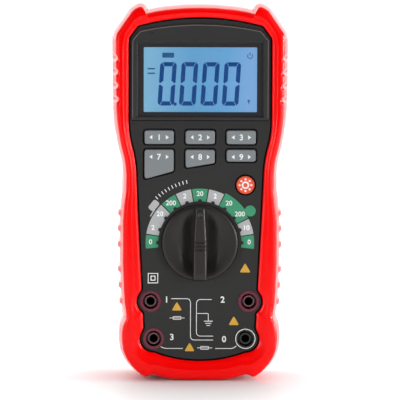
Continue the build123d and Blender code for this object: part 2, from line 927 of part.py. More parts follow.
# Jacks: coloured collar, black shrouded insert and blind contact tube in a line.
sleeve_front = panel_level - jack_sleeve_setback
insert_front = panel_level - jack_collar_spigot
for jack_name, (jack_x, jack_z) in jack_spots.items():
    with BuildPart() as collar:
        with BuildSketch(at(panel_level, jack_x, jack_z)):
            Circle(insert_radius + jack_collar_brim)
            Circle(jack_recess_radius, mode=Mode.SUBTRACT)
        extrude(amount=jack_collar_rise)
        with BuildSketch(at(panel_level, jack_x, jack_z)):
            Circle(insert_radius)
            Circle(jack_recess_radius, mode=Mode.SUBTRACT)
        extrude(amount=-jack_collar_spigot)
    finish(collar, f"{jack_name}_jack_collar")
    with BuildPart() as insert:
        with BuildSketch(at(tube_level, jack_x, jack_z)):
            Circle(insert_radius)
        extrude(amount=insert_front - tube_level)
        with BuildSketch(at(insert_front, jack_x, jack_z)):
            Circle(jack_recess_radius)
        extrude(amount=tube_level + jack_floor - insert_front, mode=Mode.SUBTRACT)
        with BuildSketch(at(tube_level, jack_x, jack_z)):
            Circle(sleeve_radius)
        extrude(amount=sleeve_front - tube_level)
        with BuildSketch(at(tube_level, jack_x, jack_z)):
            Circle(jack_bore)
        extrude(amount=sleeve_front - tube_level, mode=Mode.SUBTRACT)
    finish(insert, f"{jack_name}_jack_shroud")
    with BuildPart() as tube:
        with BuildSketch(at(tube_level, jack_x, jack_z)):
            Circle(jack_flange_radius)
        extrude(amount=board_level - tube_level)
        with BuildSketch(at(tube_level, jack_x, jack_z)):
            Circle(tube_radius)
        extrude(amount=-jack_tube_length)
        with BuildSketch(at(tube_level, jack_x, jack_z)):
            Circle(jack_bore)
        extrude(amount=jack_end_wall - jack_tube_length, mode=Mode.SUBTRACT)
    finish(tube, f"{jack_name}_jack_tube")


def upright(z):
    """Level plane at a height, with X across and its own Y pointing to the back."""
    return Plane(origin=(0, 0, z), x_dir=(1, 0, 0), z_dir=(0, 0, 1))


def make_fuse(name, x, size):
    """One cartridge fuse standing beside the battery bay: body with a cap at each end."""
    radius, length = size
    level = board_back - clip_stand - radius
    with BuildPart() as fuse:
        with BuildSketch(upright(fuse_height - length / 2)):
            with Locations((x, -level)):
                Circle(radius - fuse_cap_rise)
        extrude(amount=length)
        for foot in (fuse_height - length / 2, fuse_height + length / 2 - fuse_cap):
            with BuildSketch(upright(foot)):
                with Locations((x, -level)):
                    Circle(radius)
            extrude(amount=fuse_cap)
    finish(fuse, name)


make_fuse("high_current_fuse", fuse_x, high_fuse)
make_fuse("milliamp_fuse", -fuse_x, low_fuse)

with BuildPart() as fuse_clips:
    for x, (radius, length) in ((fuse_x, high_fuse), (-fuse_x, low_fuse)):
        level = board_back - clip_stand - radius
        for side in (1, -1):
            middle = fuse_height + side * (length - fuse_cap) / 2
            with BuildSketch(upright(middle - clip_width / 2)):
                with Locations((x, -level)):
                    Circle(radius + running_gap + clip_sheet)
                    Rectangle(2 * clip_width, 2 * radius, align=(Align.CENTER, Align.MAX))
                with Locations((x, -board_back)):
                    Rectangle(
                        4 * radius,
                        2 * radius,
                        align=(Align.CENTER, Align.MAX),
                        mode=Mode.SUBTRACT,
                    )
                with Locations((x, -level + radius / 2)):
                    Rectangle(
                        4 * radius,
                        2 * radius,
                        align=(Align.CENTER, Align.MIN),
                        mode=Mode.SUBTRACT,
                    )
                with Locations((x, -level)):
                    Circle(radius + running_gap, mode=Mode.SUBTRACT)
            extrude(amount=clip_width)
finish(fuse_clips, "fuse_clips")

# Parts soldered to the back of the board.
with BuildPart() as measuring_chips:
    for x, z, wide, tall in chip_places:
        with BuildSketch(at(board_back, x, z)):
            Rectangle(wide, tall)
        extrude(amount=-chip_thickness)
finish(measuring_chips, "measuring_chips")

with BuildPart() as capacitors:
    with BuildSketch(at(board_back)):
        with Locations(*capacitor_places):
            Circle(capacitor_radius)
    extrude(amount=-capacitor_tall)
    fillet(capacitors.faces().sort_by(Axis.Y)[-1].edges(), capacitor_edge)
finish(capacitors, "capacitors")

with BuildPart() as buzzer:
    with BuildSketch(at(board_back, *buzzer_place)):
        Circle(buzzer_radius)
    extrude(amount=-buzzer_tall)
    with BuildSketch(at(board_back - buzzer_tall, *buzzer_place)):
        Circle(buzzer_hole)
    extrude(amount=buzzer_tall / 2, mode=Mode.SUBTRACT)
finish(buzzer, "buzzer")

with BuildPart() as surge_absorbers:
    for x in absorber_columns:
        with Locations((x, absorber_radius - board_back, absorber_height)):
            Cylinder(absorber_radius, absorber_thickness, rotation=(0, 90, 0))
finish(surge_absorbers, "surge_absorbers")

# The high-current shunt: a loop of thick wire with both legs in the board.
with BuildPart() as current_shunt:
    shunt_plane = upright(shunt_height)
    with BuildLine(shunt_plane) as loop:
        Line((-shunt_half, -board_back), (-shunt_half, shunt_leg - board_back))
        ThreePointArc(
            (-shunt_half, shunt_leg - board_back),
            (0, shunt_leg + shunt_half - board_back),
            (shunt_half, shunt_leg - board_back),
        )
        Line((shunt_half, shunt_leg - board_back), (shunt_half, -board_back))
    with BuildSketch(Plane(origin=loop.wires()[0] @ 0, z_dir=loop.wires()[0] % 0)):
        Circle(shunt_radius)
    sweep()
finish(current_shunt, "current_shunt")

# The battery, its terminal plate and the two snap contacts.
stud_foot = battery_foot + battery_tall
with BuildPart() as battery:
    with BuildSketch(upright(battery_foot)):
        with Locations((0, -battery_middle)):
            RectangleRounded(battery_width, battery_thick, battery_corner)
    extrude(amount=battery_tall)
    for side, radius in zip((-1, 1), stud_radii):
        with BuildSketch(upright(stud_foot)):
            with Locations((side * stud_pitch / 2, -battery_middle)):
                Circle(radius)
        extrude(amount=stud_tall)
finish(battery, "battery")

with BuildPart() as battery_contacts:
    for side, radius in zip((-1, 1), stud_radii):
        with BuildSketch(upright(stud_foot + clear_gap)):
            with Locations((side * stud_pitch / 2, -battery_middle)):
                Circle(radius + loose_gap + contact_wall)
                Circle(radius + loose_gap, mode=Mode.SUBTRACT)
        extrude(amount=stud_tall)
finish(battery_contacts, "battery_contacts")

with BuildPart() as terminal_plate:
    with BuildSketch(upright(stud_foot + stud_tall + clear_gap)):
        with Locations((0, -battery_middle)):
            Rectangle(2 * (bay_half - loose_gap), battery_thick)
    extrude(amount=contact_plate)
finish(terminal_plate, "terminal_plate")

# The battery door with its foam pad and its two screws.
with BuildPart() as battery_door:
    with BuildSketch(at(door_inside)):
        with Locations((0, door_foot + door_tall / 2)):
            Rectangle(2 * door_half, door_tall)
    extrude(amount=-door_thickness)
    chamfer(battery_door.faces().sort_by(Axis.Y)[-1].edges(), door_edge)
    with BuildSketch(at(door_inside)):
        with Locations(*door_screw_spots):
            Circle(screw_hole)
    extrude(amount=-door_thickness, mode=Mode.SUBTRACT)
    with BuildSketch(at(case_back)):
        with Locations(*door_screw_spots):
            Circle(screw_head_radius + loose_gap)
    extrude(amount=screw_head_tall, mode=Mode.SUBTRACT)
finish(battery_door, "battery_door")

with BuildPart() as battery_pad:
    with BuildSketch(at(door_inside)):
        with Locations((0, battery_foot + battery_tall / 2)):
            Rectangle(battery_width - 2 * pad_inset, battery_tall - 2 * pad_inset)
    extrude(amount=pad_thickness)
finish(battery_pad, "battery_pad")


def make_screws(name, spots, head_level, tip_level):
    """A set of like screws that point forward, each with a cross recess in its head."""
    with BuildPart() as screws:
        with BuildSketch(at(head_level)):
            with Locations(*spots):
                Circle(screw_head_radius)
        extrude(amount=screw_head_tall)
        chamfer(screws.faces().sort_by(Axis.Y)[-len(spots):].edges(), screw_head_edge)
        with BuildSketch(at(head_level)):
            with Locations(*spots):
                Circle(screw_radius)
        extrude(amount=tip_level - head_level)
        with BuildSketch(at(head_level)):
            with Locations(*spots):
                Rectangle(screw_cross_long, screw_cross)
                Rectangle(screw_cross, screw_cross_long)
        extrude(amount=screw_head_tall / 2, mode=Mode.SUBTRACT)
    finish(screws, name)


make_screws(
    "case_screws",
    both_sides(case_screw_spots),
    case_back + case_screw_depth - screw_head_tall,
    board_level + screw_bite,
)
make_screws(
    "board_screws",
    both_sides(board_screw_spots),
    board_back - screw_head_tall,
    board_level + screw_bite,
)
make_screws("door_screws", door_screw_spots, case_back, door_inside + door_screw_bite)

# The tilt stand: a U with a pin at each arm's upper end.
with BuildPart() as tilt_stand:
    with BuildSketch(at(case_back)):
        add(stand_outline())
    extrude(amount=stand_thickness)
    rounded_ends = tilt_stand.edges().filter_by(Axis.X).group_by(Axis.Z)[-1]
    fillet(rounded_ends, stand_thickness / 2 - stand_end_flat)
    with Locations((0, -pivot_level, stand_pivot_height)):
        for side in (1, -1):
            with Locations((side * (stand_half + stand_pin_reach / 2), 0, 0)):
                Cylinder(stand_pin_radius, stand_pin_reach, rotation=(0, 90, 0))
finish(tilt_stand, "tilt_stand")
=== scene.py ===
"""Looks of a handheld digital multimeter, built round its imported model."""

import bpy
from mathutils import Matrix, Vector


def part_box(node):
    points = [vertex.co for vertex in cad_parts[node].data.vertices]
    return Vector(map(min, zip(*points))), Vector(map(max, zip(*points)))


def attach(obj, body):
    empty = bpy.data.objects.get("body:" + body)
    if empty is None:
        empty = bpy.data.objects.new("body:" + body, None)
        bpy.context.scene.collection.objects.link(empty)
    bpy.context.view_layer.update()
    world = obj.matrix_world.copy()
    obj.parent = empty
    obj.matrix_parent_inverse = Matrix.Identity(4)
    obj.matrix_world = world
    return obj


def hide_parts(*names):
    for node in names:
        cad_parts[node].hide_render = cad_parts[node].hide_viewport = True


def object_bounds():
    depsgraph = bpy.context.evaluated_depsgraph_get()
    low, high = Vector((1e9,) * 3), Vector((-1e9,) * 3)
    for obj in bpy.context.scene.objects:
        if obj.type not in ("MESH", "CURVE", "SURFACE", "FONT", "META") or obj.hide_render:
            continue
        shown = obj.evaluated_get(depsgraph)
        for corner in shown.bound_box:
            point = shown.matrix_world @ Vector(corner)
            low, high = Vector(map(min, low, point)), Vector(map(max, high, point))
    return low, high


bl_info = {
    "name": "Digital multimeter",
    "version": (1, 0, 0),
    "blender": (4, 5, 0),
    "location": "3D View > Sidebar > Meter",
    "description": "Builds the holster, knob, display, prints and finishes of a digital meter",
    "category": "Object",
}

import bpy
import numpy as np
from mathutils import Vector

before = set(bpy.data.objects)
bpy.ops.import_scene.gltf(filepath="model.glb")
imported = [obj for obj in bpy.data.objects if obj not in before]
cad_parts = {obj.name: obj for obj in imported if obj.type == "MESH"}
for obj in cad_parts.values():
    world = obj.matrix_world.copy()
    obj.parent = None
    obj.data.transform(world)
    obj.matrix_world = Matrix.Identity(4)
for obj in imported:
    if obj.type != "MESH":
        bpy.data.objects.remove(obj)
CAD_BOX = [list(corner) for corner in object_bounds()]
MM = 0.001


def box(node):
    """Low and high corner of a node's box, in millimetres."""
    return np.array(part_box(node)) / MM


def middle(node):
    """Centre of a node's box on the face, in millimetres: across and up."""
    return box(node)[:, [0, 2]].sum(axis=0) / 2


# Levels in millimetres forward of the mid-plane, and places on the face (across, height)
PANEL = -box("front_case")[0, 1]
RIM = PANEL + 2.0
BACK = -CAD_BOX[1][1] / MM
CASE_BACK = -box("rear_case")[1, 1]
KNOB_LO, KNOB_HI = box("selector_knob")
DIAL = middle("selector_knob")
KNOB_RADIUS = (KNOB_HI[0] - KNOB_LO[0]) / 2
KNOB_TOP = -KNOB_LO[1]
KEY_FACE = -box("function_key")[0, 1]


# ---------------------------------------------------------------- curves and meshes


def smooth_step(values, low, high):
    """0 below low, 1 above high, and an even S between them."""
    t = np.clip((np.asarray(values, float) - low) / (high - low), 0, 1)
    return t * t * (3 - 2 * t)


def arc(start, through, end, count=40):
    """Points on the circle through three points: the centre is as far from all of them,
    and the angle runs evenly from the first point past the second to the third."""
    spots = np.array([start, through, end], float)
    squares = np.sum(spots**2, axis=1)
    centre = np.linalg.solve(2 * (spots[1:] - spots[0]), squares[1:] - squares[0])
    angles = np.unwrap(np.arctan2(*(spots - centre).T[::-1]))
    t = np.linspace(angles[0], angles[2], count)
    return centre + np.hypot(*(spots[0] - centre)) * rays(t)


def even_points(points, spacing):
    """The same polyline with its points an even step apart along its length."""
    points = np.asarray(points, float)
    run = np.concatenate([[0], np.cumsum(np.hypot(*np.diff(points, axis=0).T))])
    count = max(2, int(round(run[-1] / spacing)) + 1)
    at = np.linspace(0, run[-1], count)
    return np.column_stack([np.interp(at, run, points[:, 0]), np.interp(at, run, points[:, 1])])


def ring_blur(values, reach):
    """Values round a closed ring, each replaced by a bell-weighted mean of its neighbours."""
    steps = np.arange(-int(3 * reach) - 1, int(3 * reach) + 2)
    weights = np.exp(-0.5 * (steps / reach) ** 2)
    weights /= weights.sum()
    return sum(w * np.roll(values, -s, axis=0) for w, s in zip(weights, steps))


def unit(vectors):
    """Each vector over its own length."""
    return vectors / np.hypot(*vectors.T)[:, None]


def rays(angles):
    """Unit vectors at angles: their cosines across and their sines up."""
    return np.stack([np.cos(angles), np.sin(angles)], axis=-1)


def ring_normals(points):
    """Unit vectors square to a closed ring that runs clockwise, pointing out of it."""
    along = unit(np.roll(points, -1, axis=0) - np.roll(points, 1, axis=0))
    return np.column_stack([-along[:, 1], along[:, 0]])


def grid_faces(rows, columns, wrap_rows=False, wrap_columns=True):
    """Quads of a grid of points numbered row by row, closed round either way if asked."""
    r = np.arange(rows if wrap_rows else rows - 1)[:, None]
    c = np.arange(columns if wrap_columns else columns - 1)[None, :]
    r2, c2 = (r + 1) % rows, (c + 1) % columns
    quads = [r * columns + c, r * columns + c2, r2 * columns + c2, r2 * columns + c]
    return np.stack(np.broadcast_arrays(*quads), axis=-1).reshape(-1, 4)


def on_face(across, up, level):
    """Millimetres on the face, and forward of the mid-plane, as metres in the frame."""
    across, up, level = np.broadcast_arrays(across, up, level)
    return np.stack([across, -level, up], axis=-1).reshape(-1, 3) * MM


def joined(shapes):
    """Several (points, faces) shapes as one list of points and one of faces."""
    points, faces, count = [], [], 0
    for shape_points, shape_faces in shapes:
        points.append(np.asarray(shape_points, float).reshape(-1, 3))
        faces += [[int(v) + count for v in face] for face in shape_faces]
        count += len(points[-1])
    return np.concatenate(points), faces


def make_piece(
    name, shape, material, body="case", smooth=40.0, replaces=()
):
    """A mesh piece from a shape's points and faces, or from a list of shapes, with its
    place in its points, riding on a body."""
    points, faces = joined(shape) if isinstance(shape, list) else shape
    mesh = bpy.data.meshes.new(name)
    mesh.from_pydata(np.asarray(points, float).tolist(), [], [list(f) for f in faces])
    mesh.validate()
    mesh.materials.append(material)
    mesh.shade_smooth()
    mesh.set_sharp_from_angle(angle=np.radians(smooth))
    piece = bpy.data.objects.new(name, mesh)
    bpy.context.scene.collection.objects.link(piece)
    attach(piece, body)
    if replaces:
        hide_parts(*replaces)
    return piece


def slab(outline, level, thickness):
    """A flat prism on the face: its outline runs anticlockwise seen from the front, with
    one face at the level plus the thickness, one at the level, and a wall between."""
    outline = np.asarray(outline, float)
    x, z = outline.T
    if np.sum(x * np.roll(z, -1) - np.roll(x, -1) * z) < 0:
        outline = outline[::-1]
    n = len(outline)
    front = on_face(outline[:, 0], outline[:, 1], level + thickness)
    rear = on_face(outline[:, 0], outline[:, 1], level)
    ring = np.arange(n)
    walls = np.column_stack([ring, ring + n, (ring + 1) % n + n, (ring + 1) % n])
    faces = [list(ring), list(ring[::-1] + n)] + walls.tolist()
    return np.concatenate([front, rear]), faces


def ring_slab(inner, outer, level, thickness):
    """A flat closed band between two rings of as many points, both anticlockwise."""
    inner, outer = np.asarray(inner, float), np.asarray(outer, float)
    loops = [(inner, level + thickness), (outer, level + thickness), (outer, level), (inner, level)]
    points = np.concatenate([on_face(p[:, 0], p[:, 1], at) for p, at in loops])
    return points, grid_faces(4, len(inner), wrap_rows=True)[:, ::-1]


def circle(centre, radius, count=48):
    """Points evenly round a circle, anticlockwise."""
    return centre + radius * rays(np.linspace(0, 2 * np.pi, count, endpoint=False))


def rounded_box(centre, width, tall, corner, count=8):
    """A rectangle with each corner swept through a quarter circle, anticlockwise."""
    t = np.linspace(0, np.pi / 2, count)
    reach = np.array([width, tall]) / 2 - corner
    turns = enumerate(((1, 1), (-1, 1), (-1, -1), (1, -1)))
    return centre + np.concatenate(
        [reach * side + corner * rays(t + turn * np.pi / 2) for turn, side in turns]
    )


def eased(points, radius, count=7):
    """The same polyline with each corner swept by a parabola that touches both of its
    runs: (1 - t)^2 before + 2 t (1 - t) corner + t^2 after."""
    points = np.asarray(points, float)
    t = np.linspace(0, 1, count)[:, None]
    parts = [points[:1]]
    for before, corner, after in zip(points[:-2], points[1:-1], points[2:]):
        start, stop = corner + radius * unit(np.array([before, after]) - corner)
        parts.append((1 - t) ** 2 * start + 2 * t * (1 - t) * corner + t**2 * stop)
    return np.concatenate([*parts, points[-1:]])


def stroke(points, width, level, thickness):
    """A bar of even width along a polyline, with mitred corners and closed ends: each
    point is moved sideways by half the width over the cosine of half the turn there."""
    points = np.array(points, float)
    run = unit(np.diff(points, axis=0))
    points[0] -= run[0] * width / 2
    points[-1] += run[-1] * width / 2
    before, after = np.vstack([run[:1], run]), np.vstack([run, run[-1:]])
    mean = unit(before + after)
    reach = width / 2 / np.sum(mean * after, axis=1)
    side = np.column_stack([-mean[:, 1], mean[:, 0]]) * reach[:, None]
    left, right = points + side, points - side
    loops = ((left, level), (right, level), (right, level + thickness), (left, level + thickness))
    grid = np.stack([on_face(p[:, 0], p[:, 1], at) for p, at in loops], axis=1)
    count = len(points)
    faces = grid_faces(count, 4)[:, ::-1].tolist()
    faces += [[0, 1, 2, 3], [4 * count - 1, 4 * count - 2, 4 * count - 3, 4 * count - 4]]
    return grid.reshape(-1, 3), faces


def sector(centre, inner, outer, start, end, count=24):
    """Outline of a piece of a ring between two angles, measured from straight up and
    growing to the left: out along one arc and back along the other."""
    ray = rays(np.radians(90 + np.linspace(start, end, count)))
    return np.concatenate([centre + outer * ray, centre + inner * ray[::-1]])


# Height of a digit as a share of its typeface's size, and how far its strokes are grown
DIGIT_SHARE, DIGIT_WEIGHT = 0.73, 0.028


def number(text, tall, centre, level, thickness):
    """Plain digits from Blender's own typeface, made a mesh, centred on their own box
    and stood on the face at a level."""
    curve = bpy.data.curves.new("digits", "FONT")
    curve.body = text
    curve.size = tall / DIGIT_SHARE
    curve.extrude = thickness / 2
    curve.offset = tall * DIGIT_WEIGHT
    curve.resolution_u = 3
    holder = bpy.data.objects.new("digits", curve)
    mesh = bpy.data.meshes.new_from_object(holder)
    spots = np.empty(len(mesh.vertices) * 3)
    mesh.vertices.foreach_get("co", spots)
    spots = spots.reshape(-1, 3)
    faces = [list(face.vertices) for face in mesh.polygons]
    flat = spots[:, :2] - (spots[:, :2].min(axis=0) + spots[:, :2].max(axis=0)) / 2 + centre
    bpy.data.objects.remove(holder)
    bpy.data.curves.remove(curve)
    bpy.data.meshes.remove(mesh)
    return on_face(flat[:, 0], flat[:, 1], level + thickness / 2 + spots[:, 2]), faces


# ---------------------------------------------------------------- finishes

# Inputs and outputs of the shared skin group
SKIN_SOCKETS = (
    ("INPUT", "Color", "Colour"), ("INPUT", "Float", "Mottle"),
    ("INPUT", "Float", "Mottle Scale"), ("INPUT", "Float", "Roughness"),
    ("INPUT", "Float", "Smear"), ("INPUT", "Float", "Grain Scale"),
    ("OUTPUT", "Color", "Colour"), ("OUTPUT", "Float", "Roughness"),
    ("OUTPUT", "Float", "Height"),
)


def build_graph(tree, nodes, links, **known):
    """Add nodes and links to a graph. A node's row holds its kind, its place and its
    values: a lower-case name is the node's own setting, and any other is an input. A
    link reads "node.output > node.input", and the known nodes are there already."""
    made = dict(known)
    for name, (kind, place, *values) in nodes.items():
        node = tree.nodes.new(kind if kind.startswith("Node") else f"ShaderNode{kind}")
        node.location = place
        for key, value in dict(*values).items():
            if str(key).islower():
                setattr(node, key, value)
            else:
                node.inputs[key].default_value = value
        made[name] = node
    for line in links:
        (source, output), (target, entry) = (end.split(".") for end in line.split(" > "))
        output, entry = (int(end) if end.isdigit() else end for end in (output, entry))
        tree.links.new(made[source].outputs[output], made[target].inputs[entry])
    return made


def moulded_surface():
    """Node group for moulded skin: slow mottling of the colour, smears that shift the
    gloss, and a fine grain for the height."""
    name = "moulded_surface"
    if name in bpy.data.node_groups:
        return bpy.data.node_groups[name]
    tree = bpy.data.node_groups.new(name, "ShaderNodeTree")
    for way, kind, label in SKIN_SOCKETS:
        tree.interface.new_socket(label, in_out=way, socket_type=f"NodeSocket{kind}")
    shade = {"data_type": "RGBA", "blend_type": "MULTIPLY", "B": (0.45, 0.45, 0.45, 1)}
    nodes = {
        "entry": ("NodeGroupInput", (-1000, 0)),
        "leave": ("NodeGroupOutput", (500, 0)),
        "place": ("TexCoord", (-1000, -300)),
        "slow": ("TexNoise", (-700, 200), {"Detail": 3.0, "Roughness": 0.6}),
        "smear": ("TexNoise", (-700, -100), {"Scale": 90.0, "Detail": 5.0, "Distortion": 1.2}),
        "grain": ("TexNoise", (-700, -400), {"Detail": 2.0, "Roughness": 0.55}),
        "spread": ("MapRange", (-450, 200), {"From Min": 0.3, "From Max": 0.7}),
        "amount": ("Math", (-200, 200), {"operation": "MULTIPLY"}),
        "shade": ("Mix", (50, 200), shade),
        "drift": ("Math", (-450, -100), {"operation": "SUBTRACT", 1: 0.5}),
        "gloss": ("Math", (-200, -100), {"operation": "MULTIPLY_ADD"}),
    }
    links = (
        "place.Object > slow.Vector", "place.Object > smear.Vector",
        "place.Object > grain.Vector", "entry.Mottle Scale > slow.Scale",
        "entry.Grain Scale > grain.Scale", "slow.Fac > spread.Value",
        "spread.Result > amount.0", "entry.Mottle > amount.1", "amount.0 > shade.Factor",
        "entry.Colour > shade.A", "shade.Result > leave.Colour", "smear.Fac > drift.0",
        "drift.0 > gloss.0", "entry.Smear > gloss.1", "entry.Roughness > gloss.2",
        "gloss.0 > leave.Roughness", "grain.Fac > leave.Height",
    )
    build_graph(tree, nodes, links)
    return tree


def new_material(name, values, nodes, links):
    """A material whose shader has some inputs set and the others fed by nodes, and the
    nodes made."""
    material = bpy.data.materials.new(name)
    material.use_nodes = True
    material.node_tree.nodes.clear()
    ends = {"end": ("OutputMaterial", (500, 0)), "shader": ("BsdfPrincipled", (200, 0), values)}
    links = ("shader.BSDF > end.Surface", *links)
    return material, build_graph(material.node_tree, ends | nodes, links)


def finish_material(
    name, colour, roughness=0.5, mottle=0.2, smear=0.15, grain_scale=2500.0,
    grain_depth=0.02, mottle_scale=60.0, **values
):
    """A moulded, painted or metal finish: the shared skin group feeds colour, gloss and
    height, and every even value is set on the shader itself."""
    if name in bpy.data.materials:
        return bpy.data.materials[name]
    skin = {
        "node_tree": moulded_surface(), "Colour": (*colour, 1), "Mottle": mottle,
        "Mottle Scale": mottle_scale, "Roughness": roughness, "Smear": smear,
        "Grain Scale": grain_scale,
    }
    nodes = {
        "skin": ("Group", (-300, 0), skin),
        "bump": ("Bump", (-50, -250), {"Strength": 1.0, "Distance": grain_depth * MM}),
    }
    links = (
        "skin.Colour > shader.Base Color", "skin.Roughness > shader.Roughness",
        "skin.Height > bump.Height", "bump.Normal > shader.Normal",
    )
    values = {socket.replace("_", " "): value for socket, value in values.items()}
    return new_material(name, values, nodes, links)[0]


def ink(name, colour):
    """Screen-printed ink: nearly flat, with faint specks."""
    return finish_material(
        name, colour, 0.55, 0.12, 0.1, grain_depth=0.004, mottle_scale=300.0,
        Specular_IOR_Level=0.2
    )


def dress(nodes, material):
    """Put a finish on carried-over nodes of the model."""
    for node in nodes:
        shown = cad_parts[node]
        if not shown.material_slots:
            shown.data.materials.append(material)
        for spot in shown.material_slots:
            spot.material = material


# ---------------------------------------------------------------- settings


def colour_setting(label, description, default):
    """A colour that a user may change."""
    return bpy.props.FloatVectorProperty(
        name=label, description=description, subtype="COLOR", size=3, min=0, max=1,
        default=default
    )


def length_setting(label, description, default):
    """A length in metres that a user may change."""
    return bpy.props.FloatProperty(
        name=label, description=description, default=default, min=0, unit="LENGTH", precision=5
    )


def angle_setting(label, description, degrees):
    """An angle that a user may change."""
    return bpy.props.FloatProperty(
        name=label, description=description, default=np.radians(degrees), subtype="ANGLE"
    )


class HolsterSettings(bpy.types.PropertyGroup):
    """Sizes and colour of the rubber holster."""

    rubber: colour_setting("Rubber", "Colour of the holster's rubber", (0.92, 0.0, 0.0))
    rib_rise: length_setting("Rib rise", "How far each grip rib stands proud", 0.0010)
    groove_depth: length_setting("Groove depth", "Depth of the finger grooves", 0.0010)
    side_swell: length_setting("Side swell", "How far the sides stand out past the rim", 0.00175)


class KnobSettings(bpy.types.PropertyGroup):
    """Sizes and colour of the range selector's knob."""

    plastic: colour_setting("Plastic", "Colour of the knob", (0.017, 0.0145, 0.013))
    scoop: length_setting("Scoop", "Depth of the hollow each side of the grip", 0.0026)
    groove_depth: length_setting("Groove depth", "Depth of the three cross grooves", 0.0004)


class PrintSettings(bpy.types.PropertyGroup):
    """Inks on the face."""

    thickness: length_setting("Ink thickness", "Thickness of the printed ink", 0.00003)
    white: colour_setting("White ink", "Lines and numbers", (0.80, 0.82, 0.81))
    grey: colour_setting("Grey ink", "Plain dial sectors", (0.43, 0.44, 0.45))
    green: colour_setting("Green ink", "Coloured dial sectors", (0.055, 0.29, 0.16))
    amber: colour_setting("Amber ink", "Small triangles", (0.62, 0.36, 0.05))


class DisplaySettings(bpy.types.PropertyGroup):
    """The back-lit display."""

    glow: colour_setting("Back light", "Colour of the lit display", (0.135, 0.36, 0.62))
    segment: colour_setting("Segments", "Colour of the digits", (0.004, 0.058, 0.235))
    slant: bpy.props.FloatProperty(
        name="Slant", description="Lean of the digits to the right", default=0.066, min=0,
        max=0.3, subtype="FACTOR"
    )


class StageSettings(bpy.types.PropertyGroup):
    """Camera and lights."""

    distance: length_setting("Camera distance", "From the face to the camera", 2.0)
    view_width: length_setting("View width", "Width seen at the face", 0.2017)
    aim_height: length_setting("Aim height", "Height that the camera looks at", 0.0915)
    elevation: angle_setting("Elevation", "Height of the camera above the horizon", 4.7)
    azimuth: angle_setting("Azimuth", "Turn of the camera to the left of straight ahead", 0.8)
    roll: angle_setting("Roll", "Turn of the camera about its own axis", 0.2)
    key_power: bpy.props.FloatProperty(
        name="Key light", description="Power of the light on the right", default=36.5,
        unit="POWER"
    )
    surround: bpy.props.FloatProperty(
        name="Surround", description="Brightness of the white surround", default=2.4, min=0
    )
    floor_glow: bpy.props.FloatProperty(
        name="Floor glow", description="Light that the floor adds itself, away from the meter",
        default=0.28, min=0
    )


# ---------------------------------------------------------------- holster

FAN_TOP = 120.0
FAN_FOOT = 60.0


def to_rays(points):
    """Each point as a station round the half outline and its reach. Above one height
    the station is the angle of the ray from that height's middle, below another it is
    the same from there, and between them it is the height, with the reach across."""
    x, z = np.asarray(points, float).T
    level = np.clip(z, FAN_FOOT, FAN_TOP)
    turn = np.arctan2(z - level, x) / (np.pi / 2)
    return (level - FAN_FOOT) / (FAN_TOP - FAN_FOOT) + turn, np.hypot(x, z - level)


def from_rays(station, reach):
    """Points on the face for stations and reaches: the inverse of to_rays."""
    share = np.clip(station, 0, 1)
    level = FAN_FOOT + share * (FAN_TOP - FAN_FOOT)
    away = reach[:, None] * rays((station - share) * np.pi / 2)
    return away + np.column_stack([0 * level, level])


def reach_at(points, station):
    """Reach of a half outline at the given stations."""
    s, reach = to_rays(even_points(points, 0.25))
    order = np.argsort(s)
    return np.interp(station, s[order], reach[order])


def case_half_outline():
    """Right half of the plastic case's outline, from the top's middle to the foot's."""
    return np.concatenate(
        [
            arc((0, 186.6), (16.5, 185.15), (33, 180.8)),
            [(41, 172.5)],
            arc((40.3, 133.5), (39.5, 125.5), (37.2, 117.5)),
            arc((37.2, 117.5), (35.95, 109.75), (35.6, 102)),
            arc((35.6, 102), (35.85, 94), (36.5, 86)),
            arc((35.7, 22), (32.3, 11.1), (24, 6.3)),
            arc((24, 6.3), (12, 4.5), (0, 3.9)),
        ]
    )


def rim_inner_outline():
    """Right half of the line where the rim meets the panel, without the jack bulges."""
    return np.concatenate(
        [
            arc((0, 183.6), (18.05, 182.2), (31.5, 179.3)),
            [(36.1, 173.0)],
            arc((36.1, 132.6), (35.7, 125.05), (34.1, 117.5)),
            arc((34.1, 117.5), (32.6, 109.75), (32.1, 102)),
            [(31.4, 86), (29.4, 47.2), (28.5, 28.2)],
            arc((26.3, 15.4), (13.67, 11.2), (0, 9.8)),
        ]
    )


def rim_outer_outline():
    """Right half of the rim's front edge, with the lugs at its top and its foot."""
    return np.array(
        [
            (0, 188.4), (8, 188.25), (17, 187.4), (23, 186.5), (27.4, 185.4), (27.9, 186.2),
            (28.5, 188.3), (29.8, 189.1), (31.6, 188.6), (34.3, 186.8), (38.3, 181.0),
            (42.2, 175.3), (42.7, 172.8), (42.6, 165), (42.55, 150), (42.2, 136.6),
            (41.9, 132.6), (41.4, 128.5), (40.8, 124.5), (40.1, 120.4), (39.2, 116.4),
            (38.1, 112.4), (37.5, 108.3), (37.2, 104), (37.3, 96), (37.9, 92), (38.5, 86),
            (38.8, 80), (38.85, 60), (38.25, 45), (37.9, 39.1), (37.1, 34.2), (37.1, 31.4),
            (38.6, 28.2), (39.2, 25.0), (39.3, 20.5), (38.7, 15.4), (37.3, 11.8), (34.8, 7.9),
            (31.7, 4.6), (29.0, 2.3), (27.2, 1.5), (25.0, 2.6), (23.2, 3.0), (19.5, 1.7),
            (15.5, 0.8), (8, 0.35), (0, 0.3),
        ],
        float,
    )


def circle_reach(station, centre, radius):
    """Farthest reach of a circle along the lower fan's rays, or 0 where they miss it."""
    ray = rays(station * np.pi / 2)
    offset = np.array([centre[0], centre[1] - FAN_FOOT])
    along = ray @ offset
    beside = ray[:, 0] * offset[1] - ray[:, 1] * offset[0]
    inside = radius * radius - beside * beside
    return np.where((inside > 0) & (station < 0), along + np.sqrt(np.maximum(inside, 0)), 0)


# How far the sides stand out past the rim in the table
FULL_SWELL = 1.75
